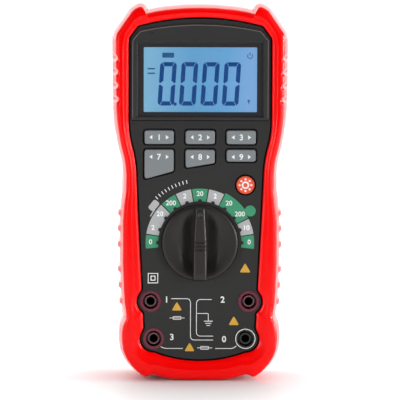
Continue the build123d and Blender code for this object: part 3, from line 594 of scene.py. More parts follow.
# Cross-section of the holster: the bases that its rows stand from, and each row's
# distance from there and its level. "inner" counts out from the panel's line, "mid" is a
# share of the way from there to the front edge, "outer" counts out from the front edge,
# and "case" out from the plastic case.
HOLSTER_PROFILE = {
    "inner": (
        (0.00, PANEL + 0.01), (0.00, PANEL + 0.70), (0.08, PANEL + 0.94), (0.32, PANEL + 1.14),
    ),
    "mid": (
        (0.16, PANEL + 1.52), (0.22, PANEL + 1.60), (0.41, PANEL + 1.80), (0.44, PANEL + 1.90),
        (0.47, PANEL + 1.98), (0.50, RIM), (0.55, RIM - 0.01),
    ),
    "outer": (
        (-1.80, RIM - 0.08), (-1.55, RIM - 0.20), (-0.50, RIM - 0.98), (-0.25, RIM - 1.22),
        (-0.05, RIM - 1.60), (0.16, RIM - 2.40), (0.42, RIM - 3.60), (0.75, RIM - 5.00),
        (1.10, RIM - 6.60), (1.42, RIM - 8.40), (1.65, RIM - 10.5),
        *((FULL_SWELL, level) for level in (7.5, 5, 2.5, 0, -2.5, -5, -7.5, -9.5, -11)),
        (FULL_SWELL, -12.5), (FULL_SWELL, -14.5), (FULL_SWELL, -17),
        (1.70, -19.5), (1.55, -21.5), (1.25, -23.3), (0.80, -24.9), (0.20, -26.2),
        (-0.50, -27.1), (-1.30, -27.7), (-2.20, BACK),
    ),
    "case": (
        (-4.40, BACK), (-4.85, BACK + 0.15), (-5.00, BACK + 0.50), (-5.00, CASE_BACK - 0.02),
        (0.15, CASE_BACK - 0.02), (0.15, 0.0), (0.15, PANEL + 0.01),
    ),
}
# Radius of the bulges round the jacks; ribs and grooves by their heights, their half
# widths and the softness of their edges, on the sides past a distance across
JACK_BULGE = 7.1
RIBS = ((84.3, 76.5, 68.4, 55.8, 47.7, 39.6), 1.75, 0.9)
GROOVES = (163.1 - 6.95 * np.arange(4), 1.4, 0.8)
SIDE_FROM = 34


def bars_at(z, heights, half, soft):
    """1 on each bar centred on a height, falling evenly to 0 over the soft edge."""
    away = np.min(np.abs(z[:, None] - np.asarray(heights)[None, :]), axis=1)
    return 1 - smooth_step(away, half - soft, half + soft / 2)


def whole(points, blur):
    """A half outline and its mirror image as one clockwise ring with its corners eased."""
    left = points[1:-1][::-1] * [-1, 1]
    return ring_blur(np.concatenate([points, left]), blur)


def panel_ring():
    """Line where the rim meets the panel, a clockwise ring: the farther of the plain
    line and the bulges round the jacks, at each station."""
    station = to_rays(even_points(rim_outer_outline(), 0.5))[0]
    panel = reach_at(rim_inner_outline(), station)
    for jack in ("voltage", "common"):
        bulge = circle_reach(station, middle(f"{jack}_jack_tube"), JACK_BULGE)
        panel = np.maximum(panel, bulge)
    return whole(from_rays(station, panel), 1.4)


def holster_shape(settings):
    """Points of the holster, profile rows by stations round it. Each row is a closed
    ring: a base outline pushed out square to itself by the row's distance, with the
    lugs fading towards the back, ribs added on the lower sides, and grooves taken off
    the upper front edge."""
    edge = even_points(rim_outer_outline(), 0.5)
    station = to_rays(edge)[0]
    case = reach_at(case_half_outline(), station)
    inner = panel_ring()
    outer = whole(edge, 1.3)
    body = whole(from_rays(station, case), 1.0)
    out = unit(ring_blur(ring_normals(outer), 1.5))
    body_out = unit(ring_blur(ring_normals(body), 3.0))
    across = unit(outer - inner)
    beside = np.abs(outer[:, 0]) > SIDE_FROM
    ribs, grooves = (bars_at(outer[:, 1], *bars) * beside for bars in (RIBS, GROOVES))
    swell = settings.side_swell / MM / FULL_SWELL
    # the foot is flat, so the swell fades where the skin faces down
    flat = np.where(out[:, 1] < 0, 1 + 0.85 * out[:, 1], 1.0)
    push = swell * np.column_stack([np.ones_like(flat), flat])

    rows = []
    for base, distance, level in (
        (base, *step) for base, steps in HOLSTER_PROFILE.items() for step in steps
    ):
        if base == "inner":
            ring = inner + across * distance
        elif base == "mid":
            ring = inner + (outer - inner) * distance
        elif base == "case":
            ring = body + body_out * distance
        elif distance < 0 and level > 0:
            ring = outer + across * distance
        else:
            plain = body + body_out * (2.15 + distance)
            fade = smooth_step(-level, 11.0, 20.0)
            ring = (outer + out * distance * push) * (1 - fade) + plain * fade
        if base == "outer":
            reach = smooth_step(12.6 - abs(level), 0, 2.2) * settings.rib_rise / MM
            ring = ring + out * (ribs * reach)[:, None]
            reach = smooth_step(level, 7.0, 14.0) * settings.groove_depth / MM
            reach *= smooth_step(distance, -2.6, -1.2)
            ring = ring - out * (grooves * reach)[:, None]
        rows.append(on_face(ring[:, 0], ring[:, 1], level))
    return np.clip(np.array(rows), *CAD_BOX)


class METER_OT_holster(bpy.types.Operator):
    """Build the rubber holster: rim, lugs, ribs, finger grooves and rear lip"""

    bl_idname = "meter.holster"
    bl_label = "Holster"

    def execute(self, context):
        settings = context.scene.meter_holster
        points = holster_shape(settings)
        rubber = finish_material(
            "holster_rubber", settings.rubber, 0.30, 0.05, 0.12, 3200.0, 0.004,
            Specular_IOR_Level=0.12, Coat_Weight=1.0, Coat_Roughness=0.16, Coat_IOR=1.17
        )
        shape = points.reshape(-1, 3), grid_faces(*points.shape[:2], wrap_rows=True)
        make_piece(
            "holster_boot", shape, rubber, smooth=50.0, replaces=("holster",)
        )
        return {"FINISHED"}


# ---------------------------------------------------------------- knob

# Levels of the disc's face, its seat and its hub, then half the grip's length, the level
# that the grip rises from, and its cross grooves
DISC_FACE = KNOB_TOP - 6.7
DISC_SEAT = 18.3
DISC_HUB = 15.1
GRIP_HALF = 18.75
GRIP_BASE = 19.4
GRIP_GROOVES = np.array([1.2, -0.85, -2.9])


def knob_disc(scoop):
    """Turned disc: each ring of a radial profile has its level lowered by a hollow that
    is deepest beside the grip and dies out towards the rim."""
    radii = [*np.linspace(0, 17.2, 44)[1:], 17.6, 18.0, 18.35, 18.7, 18.95, KNOB_RADIUS]
    radii = np.array(radii)
    edge = np.interp(radii, [18.2, 18.5, 18.8, 19.0, KNOB_RADIUS], [0, 0.05, 0.22, 0.5, 0.9])
    t = np.linspace(0, 2 * np.pi, 144, endpoint=False)
    ray = rays(t)
    x, z = (radii[:, None] * part for part in ray.T)
    fall = 1 - smooth_step(radii, 9.0, 17.6)[:, None]
    near = 0.25 + 0.75 * np.exp(-((np.maximum(np.abs(x) - 3.4, 0) / 5.0) ** 2))
    level = DISC_FACE - edge[:, None] - scoop * near * fall
    front = on_face(DIAL[0] + x, DIAL[1] + z, level)
    lower = (
        (KNOB_RADIUS, DISC_FACE - 1.3), (KNOB_RADIUS, DISC_SEAT + 0.3),
        (18.8, DISC_SEAT), (7.0, DISC_SEAT), (7.0, DISC_HUB),
    )
    rings = [on_face(*(DIAL + r * ray).T, height) for r, height in lower]
    poles = on_face(*DIAL, np.array([level[0].mean(), DISC_HUB]))
    points = np.concatenate([front, *rings, poles])
    count, first, end = len(t), len(points) - 2, len(points) - 1
    ring = np.arange(count)
    top = np.column_stack([np.full(count, first), ring, (ring + 1) % count])
    last = first - count
    bottom = np.column_stack([np.full(count, end), last + (ring + 1) % count, last + ring])
    sides = grid_faces(first // count, count)[:, ::-1]
    return points, [*top.tolist(), *sides.tolist(), *bottom.tolist()]


def knob_grip(groove_depth):
    """Finger grip: a rounded wedge section carried up the knob. The section's half width
    and crown change along the path, which narrows to the tip, with three cross grooves
    and a round dent pressed into the crown."""
    z = np.linspace(-GRIP_HALF, GRIP_HALF, 190)
    half = np.interp(z, [-GRIP_HALF, -2, 6, GRIP_HALF], [3.15, 3.05, 2.75, 2.05])
    crown = KNOB_TOP - 0.25 * smooth_step(np.abs(z), 15.5, GRIP_HALF)
    cuts = np.min(np.abs(z[:, None] - GRIP_GROOVES[None, :]), axis=1)
    cuts = (1 - smooth_step(cuts, 0.2, 0.62)) * groove_depth
    # section: fraction of the half width, and height as a fraction of base to crown
    wide = np.array([1.14, 1.12, 1.10, 1.07, 1.03, 0.98, 0.88, 0.72, 0.5, 0.25, 0.0])
    tall = np.array([0.0, 0.25, 0.5, 0.75, 0.90, 0.965, 0.992, 1.0, 1.0, 1.0, 1.0])
    wide = np.concatenate([wide, -wide[-2::-1]])
    tall = np.concatenate([tall, tall[-2::-1]])
    x = half[:, None] * wide[None, :]
    level = GRIP_BASE + (crown - GRIP_BASE)[:, None] * tall[None, :]
    top = smooth_step(tall, 0.85, 0.99)[None, :]
    level = level - cuts[:, None] * top
    dent = np.exp(-((x / 0.75) ** 2 + ((z[:, None] - 15.4) / 1.1) ** 2) ** 2)
    level = level - 0.55 * dent * top
    lean = 1 - 0.0055 * (level - GRIP_BASE)
    points = on_face(DIAL[0] + x, DIAL[1] + z[:, None] * lean, level)
    rows, columns = level.shape
    faces = grid_faces(rows, columns)[:, ::-1].tolist()
    faces += [list(range(columns)), list(range((rows - 1) * columns, rows * columns))[::-1]]
    return points, faces


class METER_OT_knob(bpy.types.Operator):
    """Build the range selector's knob: scooped disc and finger grip"""

    bl_idname = "meter.knob"
    bl_label = "Knob"

    def execute(self, context):
        settings = context.scene.meter_knob
        plastic = finish_material(
            "knob_plastic", settings.plastic, 0.38, 0.2, 0.2, 4200.0, 0.006,
            Specular_IOR_Level=0.38
        )
        disc = knob_disc(settings.scoop / MM)
        grip = knob_grip(settings.groove_depth / MM)
        for name, shape in (("knob_disc", disc), ("knob_grip", grip)):
            make_piece(
                name, shape, plastic, "knob", 38.0, ("selector_knob",)
            )
        return {"FINISHED"}


# ---------------------------------------------------------------- markings

# Level of the ink on the panel
FACE = PANEL + 0.01
RED_JACKS = ("current", "voltage", "milliamp")
JACKS = (*RED_JACKS, "common")
# Dial, in millimetres from its centre and degrees from straight up, growing to the left
DETENT_STEP = 18
SECTOR_INNER, SECTOR_OUTER = 20.9, 27.4
SECTOR_GAP = 0.65
SECTORS = (
    ("green", 81, 97), ("grey", 45, 81), ("green", 27, 45), ("grey", 9, 27), ("green", -9, 9),
    ("grey", -27, -9), ("green", -63, -27), ("grey", -81, -63), ("green", -97, -81),
)
DIAL_NUMBERS = {
    "green": ((89, "0"), (36, "200"), (0, "20"), (-36, "20"), (-54, "200"), (-89, "0")),
    "grey": ((72, "2"), (54, "20"), (18, "2"), (-18, "2"), (-72, "10")),
}
DIAL_DIGIT, KEY_DIGIT, JACK_DIGIT = 2.5, 3.0, 3.2
COLLAR_RISE = 0.35
# Panel: lines by their corners and how far those are eased, fuse signs, numbers and
# nested squares, and the triangles with their sides
LINE = 0.32
PANEL_LINES = (
    (2.2, (-14.2, 41.4), (-4.6, 41.4), (-4.6, 20.4), (6.7, 20.4)),
    (2.2, (6.0, 41.0), (-1.6, 41.0), (-1.6, 22.4), (6.7, 22.4)),
    (0.5, (-1.6, 33.9), (4.4, 33.9), (4.4, 30.2)),
    (1.3, (-20.0, 17.3), (-18.0, 16.1), (-8.6, 16.1)),
    (1.3, (8.2, 16.1), (16.8, 16.1), (18.6, 17.3)),
)
EARTH_SIGN = (((4.4, 30.0), 2.0), ((4.4, 28.9), 1.35), ((4.4, 27.8), 0.7))
FUSE_SIGNS = ((-11.4, 31.6), (2.6, 16.4))
JACK_NUMBERS = (
    ("1", (-16.7, 41.0)), ("2", (11.6, 41.0)), ("3", (-14.0, 21.9)), ("0", (12.4, 20.9)),
)
SQUARES = (-23.6, 51.8)
TRIANGLES = (((22.9, 56.4), 5.6), ((-11.5, 36.9), 5.2), ((17.3, 29.6), 5.4), ((-5.0, 16.2), 5.2))
# Keys: their numbers, the width of the flange round their caps, and the heights of the
# left and the right side of the ones that end on a slant
KEY_NUMBERS = {
    "function": "1", "relative": "2", "minmax": "3", "range": "7", "frequency": "8", "hold": "9",
}
FLANGE = 1.0
SLANTED_KEYS = {"range": (14.9, 10.8), "frequency": (9.2, 6.7)}
LOWER_KEYS = ("range", "frequency", "hold")


def dial_spot(angle, reach):
    """Point at a distance from the dial's centre, at an angle in degrees."""
    return DIAL + reach * rays(np.radians(90 + angle))


def ring_print(centre, inner, outer, level, thick, count=48):
    """A flat ring between two circles."""
    return ring_slab(circle(centre, inner, count), circle(centre, outer, count), level, thick)


def box_print(centre, inner, outer, corners, thick):
    """A flat frame between two rounded boxes, each given by its width and height."""
    loops = (rounded_box(centre, *box, corner) for box, corner in zip((inner, outer), corners))
    return ring_slab(*loops, FACE, thick)


class METER_OT_dial_print(bpy.types.Operator):
    """Print the dial: sectors, numbers, collar and detent bumps"""

    bl_idname = "meter.dial_print"
    bl_label = "Dial print"

    def execute(self, context):
        settings = context.scene.meter_print
        thick = settings.thickness / MM
        below, lower = FACE - 0.002, FACE - 0.004
        shapes = {"grey": [], "green": []}
        for colour, start, end in SECTORS:
            outline = sector(DIAL, SECTOR_INNER, SECTOR_OUTER, start + SECTOR_GAP, end - SECTOR_GAP)
            shapes[colour].append(slab(outline, FACE, thick))
        # the round lobe and its neck on the right, the slanted tab and its tail on the left
        shapes["green"].append(slab(circle(dial_spot(-57.5, 30.1), 2.75), lower, thick))
        shapes["green"].append(slab(sector(DIAL, SECTOR_OUTER, 28.3, -57, -27), below, thick))
        turn = np.radians(51)
        spin = np.array([[np.cos(turn), np.sin(turn)], [-np.sin(turn), np.cos(turn)]])
        tab = rounded_box((0, 0), 5.6, 3.6, 1.2) @ spin + dial_spot(51, 29.9)
        shapes["grey"].append(slab(tab, lower, thick))
        shapes["grey"].append(slab(sector(DIAL, 28.0, 28.6, 54, 62), FACE, thick))
        for colour, parts in shapes.items():
            tone = ink(f"{colour}_ink", getattr(settings, colour))
            make_piece(f"dial_{colour}_sectors", parts, tone)
        inks = {
            "green": ("white", ink("white_ink", settings.white)),
            "grey": ("pale", ink("pale_ink", (0.93, 0.94, 0.95))),
        }
        for ground, (name, tone) in inks.items():
            digits = [
                number(text, DIAL_DIGIT, dial_spot(angle, 24.9), FACE + thick, thick)
                for angle, text in DIAL_NUMBERS[ground]
            ]
            make_piece(f"dial_numbers_{name}", digits, tone)
        # raised collar with a half-round bump at each detent
        collar = [ring_print(DIAL, 19.5, 21.0, FACE, COLLAR_RISE, 96)]
        for angle in range(-90, 91, DETENT_STEP):
            bump = circle(dial_spot(angle, 21.15), 0.95, 20)
            collar.append(slab(bump, FACE, COLLAR_RISE - 0.02))
        make_piece("dial_collar", collar, bpy.data.materials["case_plastic"])
        return {"FINISHED"}


def triangle(centre, side):
    """An upright equal-sided triangle with its corners cut by a tenth."""
    spots = rays(np.radians([90, 210, 330])) * side / np.sqrt(3)
    ends = [0.9 * spots + 0.1 * np.roll(spots, way, axis=0) for way in (1, -1)]
    return np.stack(ends, axis=1).reshape(-1, 2) + centre


def key_outline(key, grow):
    """Outline of a key's cap, grown by a width, with its corners eased."""
    low, high = box(f"{key}_key")
    top = high[2] - FLANGE
    drops = SLANTED_KEYS.get(key, [top - low[2] - FLANGE] * 2)
    left, right = low[0] + FLANGE - grow, high[0] - FLANGE + grow
    start = (middle(f"{key}_key")[0], top + grow)
    corners = [
        start, (left, top + grow), (left, top - drops[0] - grow),
        (right, top - drops[1] - grow), (right, top + grow), start,
    ]
    return eased(corners, 1.4 + grow)[:-1]


class METER_OT_panel_print(bpy.types.Operator):
    """Print the panel: jack lines, triangles, nested squares and jack numbers, and lay black
    painted shade where the panel meets the rim, the keys and the bezel
    """

    bl_idname = "meter.panel_print"
    bl_label = "Panel print"

    def execute(self, context):
        settings = context.scene.meter_print
        thick = settings.thickness / MM
        lines = [
            stroke(eased(spots, ease), LINE, FACE, thick) for ease, *spots in PANEL_LINES
        ]
        bars = [(spot, half, 0.36) for spot, half in EARTH_SIGN]
        bars += [(spot, 3.6, 0.3) for spot in FUSE_SIGNS]
        for (x, z), half, width in bars:
            lines.append(stroke([(x - half, z), (x + half, z)], width, FACE, thick))
        for spot in FUSE_SIGNS:
            lines.append(box_print(spot, (3.6, 1.1), (4.2, 1.7), (0.2, 0.3), thick))
        for text, spot in JACK_NUMBERS:
            lines.append(number(text, JACK_DIGIT, spot, FACE, thick))
        for outer, inner in ((5.2, 4.4), (2.5, 1.6)):
            lines.append(box_print(SQUARES, (inner, inner), (outer, outer), (0.05, 0.05), thick))
        # a row of plain ticks round the upper left of the dial
        for angle in np.arange(12, 47, 3.5):
            lines.append(slab(sector(DIAL, 30.6, 32.4, angle, angle + 0.7, 3), FACE, thick))
        white = ink("white_ink", settings.white)
        make_piece("panel_lines", lines, white)
        # painted shade: flat black rings on the panel where it meets the rim, round each key and
        # below the bezel, standing in for the shade that falls into the gaps there
        edge = panel_ring()
        inside = edge - 0.8 * ring_normals(edge)
        gaps = [ring_slab(inside[::-1], edge[::-1], FACE, thick)]
        for key in KEY_NUMBERS:
            gaps.append(ring_slab(key_outline(key, 0.38), key_outline(key, 0.85), FACE, thick))
        gaps.append(ring_print(middle("backlight_key"), 4.88, 5.35, FACE, thick))
        foot = box("display_bezel")[0, 2] - 0.25
        gaps.append(stroke([(-34.2, foot), (34.2, foot)], 0.35, FACE, thick))
        # near-black finish of the painted shade in the gaps
        gap = finish_material(
            "panel_gap_painted_shade", (0.004, 0.003, 0.003), roughness=0.8, mottle=0.1, Specular_IOR_Level=0.0
        )
        make_piece("panel_gap_painted_shade", gaps, gap)
        # white ring printed round the common jack, and painted highlights: a rosy ring on the rim
        # of each red jack's sleeve, where light catches it
        ring = ring_print(middle("common_jack_tube"), 4.75, 5.1, PANEL + 0.41, thick, 64)
        make_piece("common_jack_ring", ring, white)
        # painted highlight on each red jack's sleeve rim
        rim_highlights = [
            ring_print(middle(f"{jack}_jack_tube"), 2.35, 2.8, PANEL - 1.195, thick)
            for jack in RED_JACKS
        ]
        make_piece("jack_sleeve_painted_highlights", rim_highlights, ink("sleeve_highlight_ink", (0.26, 0.09, 0.11)))
        marks = [slab(triangle(spot, side), FACE, thick) for spot, side in TRIANGLES]
        make_piece("panel_triangles", marks, ink("amber_ink", settings.amber))
        return {"FINISHED"}


class METER_OT_key_marks(bpy.types.Operator):
    """Print a plain number on each key and a sun on the light key"""

    bl_idname = "meter.key_marks"
    bl_label = "Key marks"

    def execute(self, context):
        settings = context.scene.meter_print
        thick = settings.thickness / MM
        level = KEY_FACE + 0.005
        white = ink("white_ink", settings.white)
        for key, text in KEY_NUMBERS.items():
            x, z = middle(f"{key}_key")
            if key in LOWER_KEYS:
                z = box(f"{key}_key")[1, 2] - 4.6
            shapes = [number(text, KEY_DIGIT, (x, z), level, thick)]
            for side in (-1, 1):
                arrow = np.array([(4.9, 0.0), (3.4, 1.1), (3.4, -1.1)]) * [side, 1]
                shapes.append(slab(arrow + [x, z], level, thick))
            make_piece(f"{key}_key_mark", shapes, white, f"{key}_button")
        centre = middle("backlight_key")
        shapes = [ring_print(centre, 1.1, 1.9, level, thick, 32)]
        for spot in circle(centre, 2.95, 8):
            shapes.append(slab(circle(spot, 0.55, 12), level, thick))
        make_piece("backlight_key_sun", shapes, white, "backlight_button")
        return {"FINISHED"}


# ---------------------------------------------------------------- display

# Digits: width, height, thickness of the bars, the gaps between and the corners' cut
DIGIT_WIDTH, DIGIT_HEIGHT, BAR, BAR_GAP, BAR_CUT = 8.35, 21.9, 2.15, 0.16, 1.15
DIGIT_PITCH = 10.8
# Lit area of the display
LIT_WIDTH, LIT_HEIGHT = 57.0, 32.6
# How the back light's colour changes from the left to the right, as gains on it
GLOW_STOPS = (
    (0.0, 1.75, 1.38, 1.06), (0.16, 1.45, 1.20, 1.03), (0.5, 0.92, 0.96, 0.97),
    (0.8, 1.0, 1.02, 1.06), (1.0, 1.5, 1.12, 1.14),
)


def zero_segments(foot, slant):
    """The six lit segments of a seven-segment nought: a top and a bottom bar with mitred
    ends, and four side bars cut to meet them, all leaned over by the slant."""
    w, h, m = DIGIT_WIDTH, DIGIT_HEIGHT, DIGIT_HEIGHT / 2
    top = np.array([
        (BAR_CUT + BAR_GAP, h), (w - BAR_CUT - BAR_GAP, h),
        (w - BAR - BAR_GAP, h - BAR), (BAR + BAR_GAP, h - BAR),
    ])
    side = np.array([
        (0, h - BAR_CUT - BAR_GAP), (BAR_CUT - BAR_GAP, h - 0.15), (BAR, h - BAR - BAR_GAP),
        (BAR, m + 1.45), (0.55, m + 0.3), (0, m + 0.8),
    ])
    shapes = (
        top, [w, h] - top, side, [w, h] - side, [w, 0] + side * [-1, 1], [0, h] + side * [1, -1],
    )
    return [foot + s + np.outer(s[:, 1], [slant, 0]) for s in shapes]


def lit_glass(settings):
    """Back-lit display glass: a dim blue face whose own light is a little greener on the
    left, more violet on the right, and uneven as behind a real light guide."""
    values = {"Roughness": 0.25, "Base Color": (0.03, 0.06, 0.09, 1), "Emission Strength": 1.0}
    half = LIT_WIDTH / 2 * MM
    nodes = {
        "place": ("TexCoord", (-900, 0)),
        "split": ("SeparateXYZ", (-700, 100)),
        "across": ("MapRange", (-500, 100), {"From Min": -half, "From Max": half}),
        "cloud": ("TexNoise", (-700, -200), {"Scale": 38.0, "Detail": 2.0}),
        "blend": ("Math", (-300, 0), {"operation": "MULTIPLY_ADD", 1: 0.12}),
        "tones": ("ValToRGB", (-100, 0)),
    }
    links = (
        "place.Object > split.Vector", "place.Object > cloud.Vector", "split.X > across.Value",
        "cloud.Fac > blend.0", "across.Result > blend.2", "blend.0 > tones.Fac",
        "tones.Color > shader.Emission Color",
    )
    material, made = new_material("lit_glass", values, nodes, links)
    ramp = made["tones"].color_ramp
    while len(ramp.elements) < len(GLOW_STOPS):
        ramp.elements.new(0.5)
    for element, (position, *gain) in zip(ramp.elements, GLOW_STOPS):
        element.position = position
        element.color = (*(tone * more for tone, more in zip(settings.glow, gain)), 1)
    return material


def clear_window():
    """Clear window: smooth glass with a faint ripple in its height."""
    values = {
        "Base Color": (0.97, 0.98, 0.99, 1), "Transmission Weight": 1.0, "Roughness": 0.02,
        "IOR": 1.49,
    }
    nodes = {
        "place": ("TexCoord", (-700, -200)),
        "wave": ("TexNoise", (-400, -200), {"Scale": 40.0, "Detail": 1.0}),
        "bump": ("Bump", (-100, -200), {"Strength": 0.3, "Distance": 0.00002}),
    }
    links = ("place.Object > wave.Vector", "wave.Fac > bump.Height", "bump.Normal > shader.Normal")
    return new_material("clear_window", values, nodes, links)[0]


def lit_ink(name, glow):
    """Display ink with a faint light of its own."""
    return finish_material(
        name, (0.01, 0.01, 0.02), roughness=0.3, mottle=0.1, smear=0.05, grain_depth=0.002,
        Emission_Color=(*glow, 1), Emission_Strength=1.0
    )


class METER_OT_display(bpy.types.Operator):
    """Light the display: window, black mask, lit glass, digits and small signs"""

    bl_idname = "meter.display"
    bl_label = "Display"

    def execute(self, context):
        settings = context.scene.meter_display
        dress(("display_window",), clear_window())
        dress(("lcd_glass",), lit_glass(settings))
        x, z = middle("backlight_plate")
        mask = finish_material(
            "window_mask", (0.030, 0.029, 0.032), roughness=0.12, mottle=0.1, smear=0.06,
            grain_depth=0.002
        )
        inner = rounded_box((x, z), LIT_WIDTH, LIT_HEIGHT, 0.5)
        outer = rounded_box(middle("display_window"), 62.6, 36.7, 0.6)
        make_piece("window_mask", ring_slab(inner, outer, PANEL + 0.005, 0.04), mask)
        # painted highlight: a raised strip in a paler grey along the bezel's sides and arched top,
        # where light catches its edge
        low, high = box("display_bezel")
        half, top, inset = high[0], high[2], 0.55
        ends = top - 3.3 - inset
        arch = arc((-30.4, ends), (0, top - inset), (30.4, ends), 31)
        corner = np.array([(half - inset, low[2] + 1.2), (half - inset, top - 8.1 - inset / 2)])
        path = np.concatenate([corner * [-1, 1], arch, corner[::-1]])
        # paler grey of the painted highlight on the bezel's edge
        bezel_highlight = finish_material(
            "bezel_painted_highlight", (0.14, 0.14, 0.145), roughness=0.25, mottle=0.1, smear=0.1,
            grain_depth=0.003
        )
        make_piece("bezel_highlight_bead", stroke(path, 0.34, -low[1] - 0.005, 0.07), bezel_highlight)
        # digits and signs on the front of the display glass
        level = 0.005 - box("lcd_glass")[0, 1]
        thick = 0.03
        foot = np.array([x - 21.6, z - 13.2])
        shapes = [
            slab(outline, level, thick)
            for place in range(4)
            for outline in zero_segments(foot + [DIGIT_PITCH * place, 0], settings.slant)
        ]
        shapes.append(slab(rounded_box(foot + [8.9, 0.75], 1.5, 1.6, 0.35), level, thick))
        make_piece("display_digits", shapes, lit_ink("segment_ink", settings.segment))
        signs = [slab(rounded_box((x - 16.2, z + 12.2), 6.0, 2.5, 0.3), level, thick)]
        for height in (z + 4.2 - 1.15, z + 4.2 + 1.15):
            signs.append(stroke([(x - 26.2, height), (x - 23.2, height)], 0.7, level, thick))
        spot = np.array((x + 25.0, z + 11.9))
        signs.append(slab(sector(spot, 1.05, 1.45, 40, 320, 40), level, thick))
        signs.append(stroke([spot + [0, 0.4], spot + [0, 1.7]], 0.4, level, thick))
        point = np.array([(-0.7, 2.4), (0.7, 2.4), (0, 0)]) + (x + 24.4, z - 12.6)
        signs.append(slab(point, level, thick))
        make_piece("display_signs", signs, lit_ink("sign_ink", (0.018, 0.09, 0.25)))
        return {"FINISHED"}


# ---------------------------------------------------------------- finishes of the model's nodes

# Each finish: its name, colour, roughness, mottle, smear, grain scale, grain depth and
# mottle scale, then the shader's own values and the nodes it goes on
PLAIN = (0.15, 2500.0, 0.02, 60.0)
STEEL_NODES = (
    "detent_balls", "detent_springs", "battery_contacts", "door_screws", "case_screws",
    "board_screws",
)
MODEL_FINISHES = (
    ("case_plastic", (0.020, 0.020, 0.0195), 0.52, 0.15, 0.2, 1700.0, 0.02, 40.0,
     {"Specular_IOR_Level": 0.3}, ("front_case", "rear_case", "battery_door", "tilt_stand")),
    ("bezel_plastic", (0.030, 0.030, 0.030), 0.28, 0.1, 0.04, 2600.0, 0.004, 60.0,
     {"Specular_IOR_Level": 0.6}, ("display_bezel",)),
    ("key_rubber", (0.205, 0.225, 0.235), 0.48, 0.08, 0.15, 3000.0, 0.012, 60.0,
     {"Specular_IOR_Level": 0.2}, [f"{key}_key" for key in KEY_NUMBERS]),
    ("light_key_plastic", (0.80, 0.09, 0.035), 0.35, 0.08, 0.1, 2600.0, 0.01, 60.0, {},
     ("backlight_key",)),
    ("jack_red", (0.13, 0.006, 0.022), 0.22, 0.1, 0.1, 2600.0, 0.006, 60.0, {},
     [f"{jack}_jack_collar" for jack in RED_JACKS]),
    ("jack_black", (0.014, 0.013, 0.014), 0.25, 0.15, 0.12, 2600.0, 0.006, 60.0, {},
     ["common_jack_collar", *(f"{jack}_jack_shroud" for jack in JACKS)]),
    ("contact_brass", (0.62, 0.48, 0.24), 0.3, 0.25, 0.2, 900.0, 0.006, 60.0,
     {"Metallic": 1.0}, ("rotor_contacts", "fuse_clips")),
    ("plated_steel", (0.52, 0.53, 0.54), 0.32, 0.25, 0.25, 900.0, 0.008, 60.0,
     {"Metallic": 1.0}, STEEL_NODES),
    ("dull_brass", (0.10, 0.075, 0.035), 0.5, 0.4, 0.2, 900.0, 0.006, 60.0,
     {"Metallic": 0.7}, [f"{jack}_jack_tube" for jack in JACKS]),
    ("white_plastic", (0.72, 0.72, 0.69), 0.45, 0.08, *PLAIN, {},
     ("lcd_frame", "selector_rotor")),
    ("light_guide", (0.62, 0.74, 0.84), 0.2, 0.05, *PLAIN, {}, ("backlight_plate",)),
    ("layered_rubber", (0.06, 0.05, 0.06), 0.6, 0.5, 0.15, 2500.0, 0.02, 900.0, {},
     ("lcd_connectors",)),
    ("pale_silicone", (0.46, 0.46, 0.44), 0.6, 0.1, *PLAIN, {}, ("keypad_mat", "battery_pad")),
    ("solder_mask", (0.015, 0.14, 0.055), 0.3, 0.4, 0.15, 800.0, 0.01, 350.0, {},
     ("circuit_board",)),
    ("fuse_ceramic", (0.75, 0.73, 0.66), 0.4, 0.15, *PLAIN, {},
     ("high_current_fuse", "milliamp_fuse")),
    ("moulded_epoxy", (0.025, 0.025, 0.026), 0.55, 0.2, *PLAIN, {},
     ("measuring_chips", "buzzer", "terminal_plate")),
    ("capacitor_sleeve", (0.02, 0.04, 0.12), 0.25, 0.1, *PLAIN, {}, ("capacitors",)),
    ("blue_epoxy", (0.02, 0.10, 0.42), 0.2, 0.15, *PLAIN, {}, ("surge_absorbers",)),
    ("shunt_wire", (0.60, 0.32, 0.18), 0.3, 0.3, *PLAIN, {"Metallic": 1.0}, ("current_shunt",)),
    ("battery_jacket", (0.08, 0.09, 0.10), 0.3, 0.2, *PLAIN, {"Metallic": 0.6}, ("battery",)),
)


class METER_OT_finishes(bpy.types.Operator):
    """Give each carried-over node its finish"""

    bl_idname = "meter.finishes"
    bl_label = "Finishes"

    def execute(self, context):
        for *finish, values, nodes in MODEL_FINISHES:
            dress(nodes, finish_material(*finish, **values))
        return {"FINISHED"}


# ---------------------------------------------------------------- stage

# Lights, each with its place, size and share of the key light's power
LIGHTS = {
    "key_light": ((2.0, -1.9, 0.52), 1.1, 1.0),
    "fill_light": ((-2.0, -1.9, 0.52), 1.1, 0.75),
    "side_light": ((1.6, 0.0, 0.3), 0.5, 0.8),
}
# How far the floor runs behind the meter and to its sides, where it ends before the
# meter, and its level
FLOOR_REACH, FLOOR_FRONT, FLOOR_LEVEL = 9.0, -0.6, -0.0002


def area_light(name, place, aim, size, power):
    """A soft square light at a place, facing an aim."""
    light = bpy.data.lights.new(name, "AREA")
    light.size = size
    light.energy = power
    holder = bpy.data.objects.new(name, light)
    bpy.context.scene.collection.objects.link(holder)
    holder.location = place
    holder.rotation_euler = (Vector(aim) - Vector(place)).to_track_quat("-Z", "Y").to_euler()


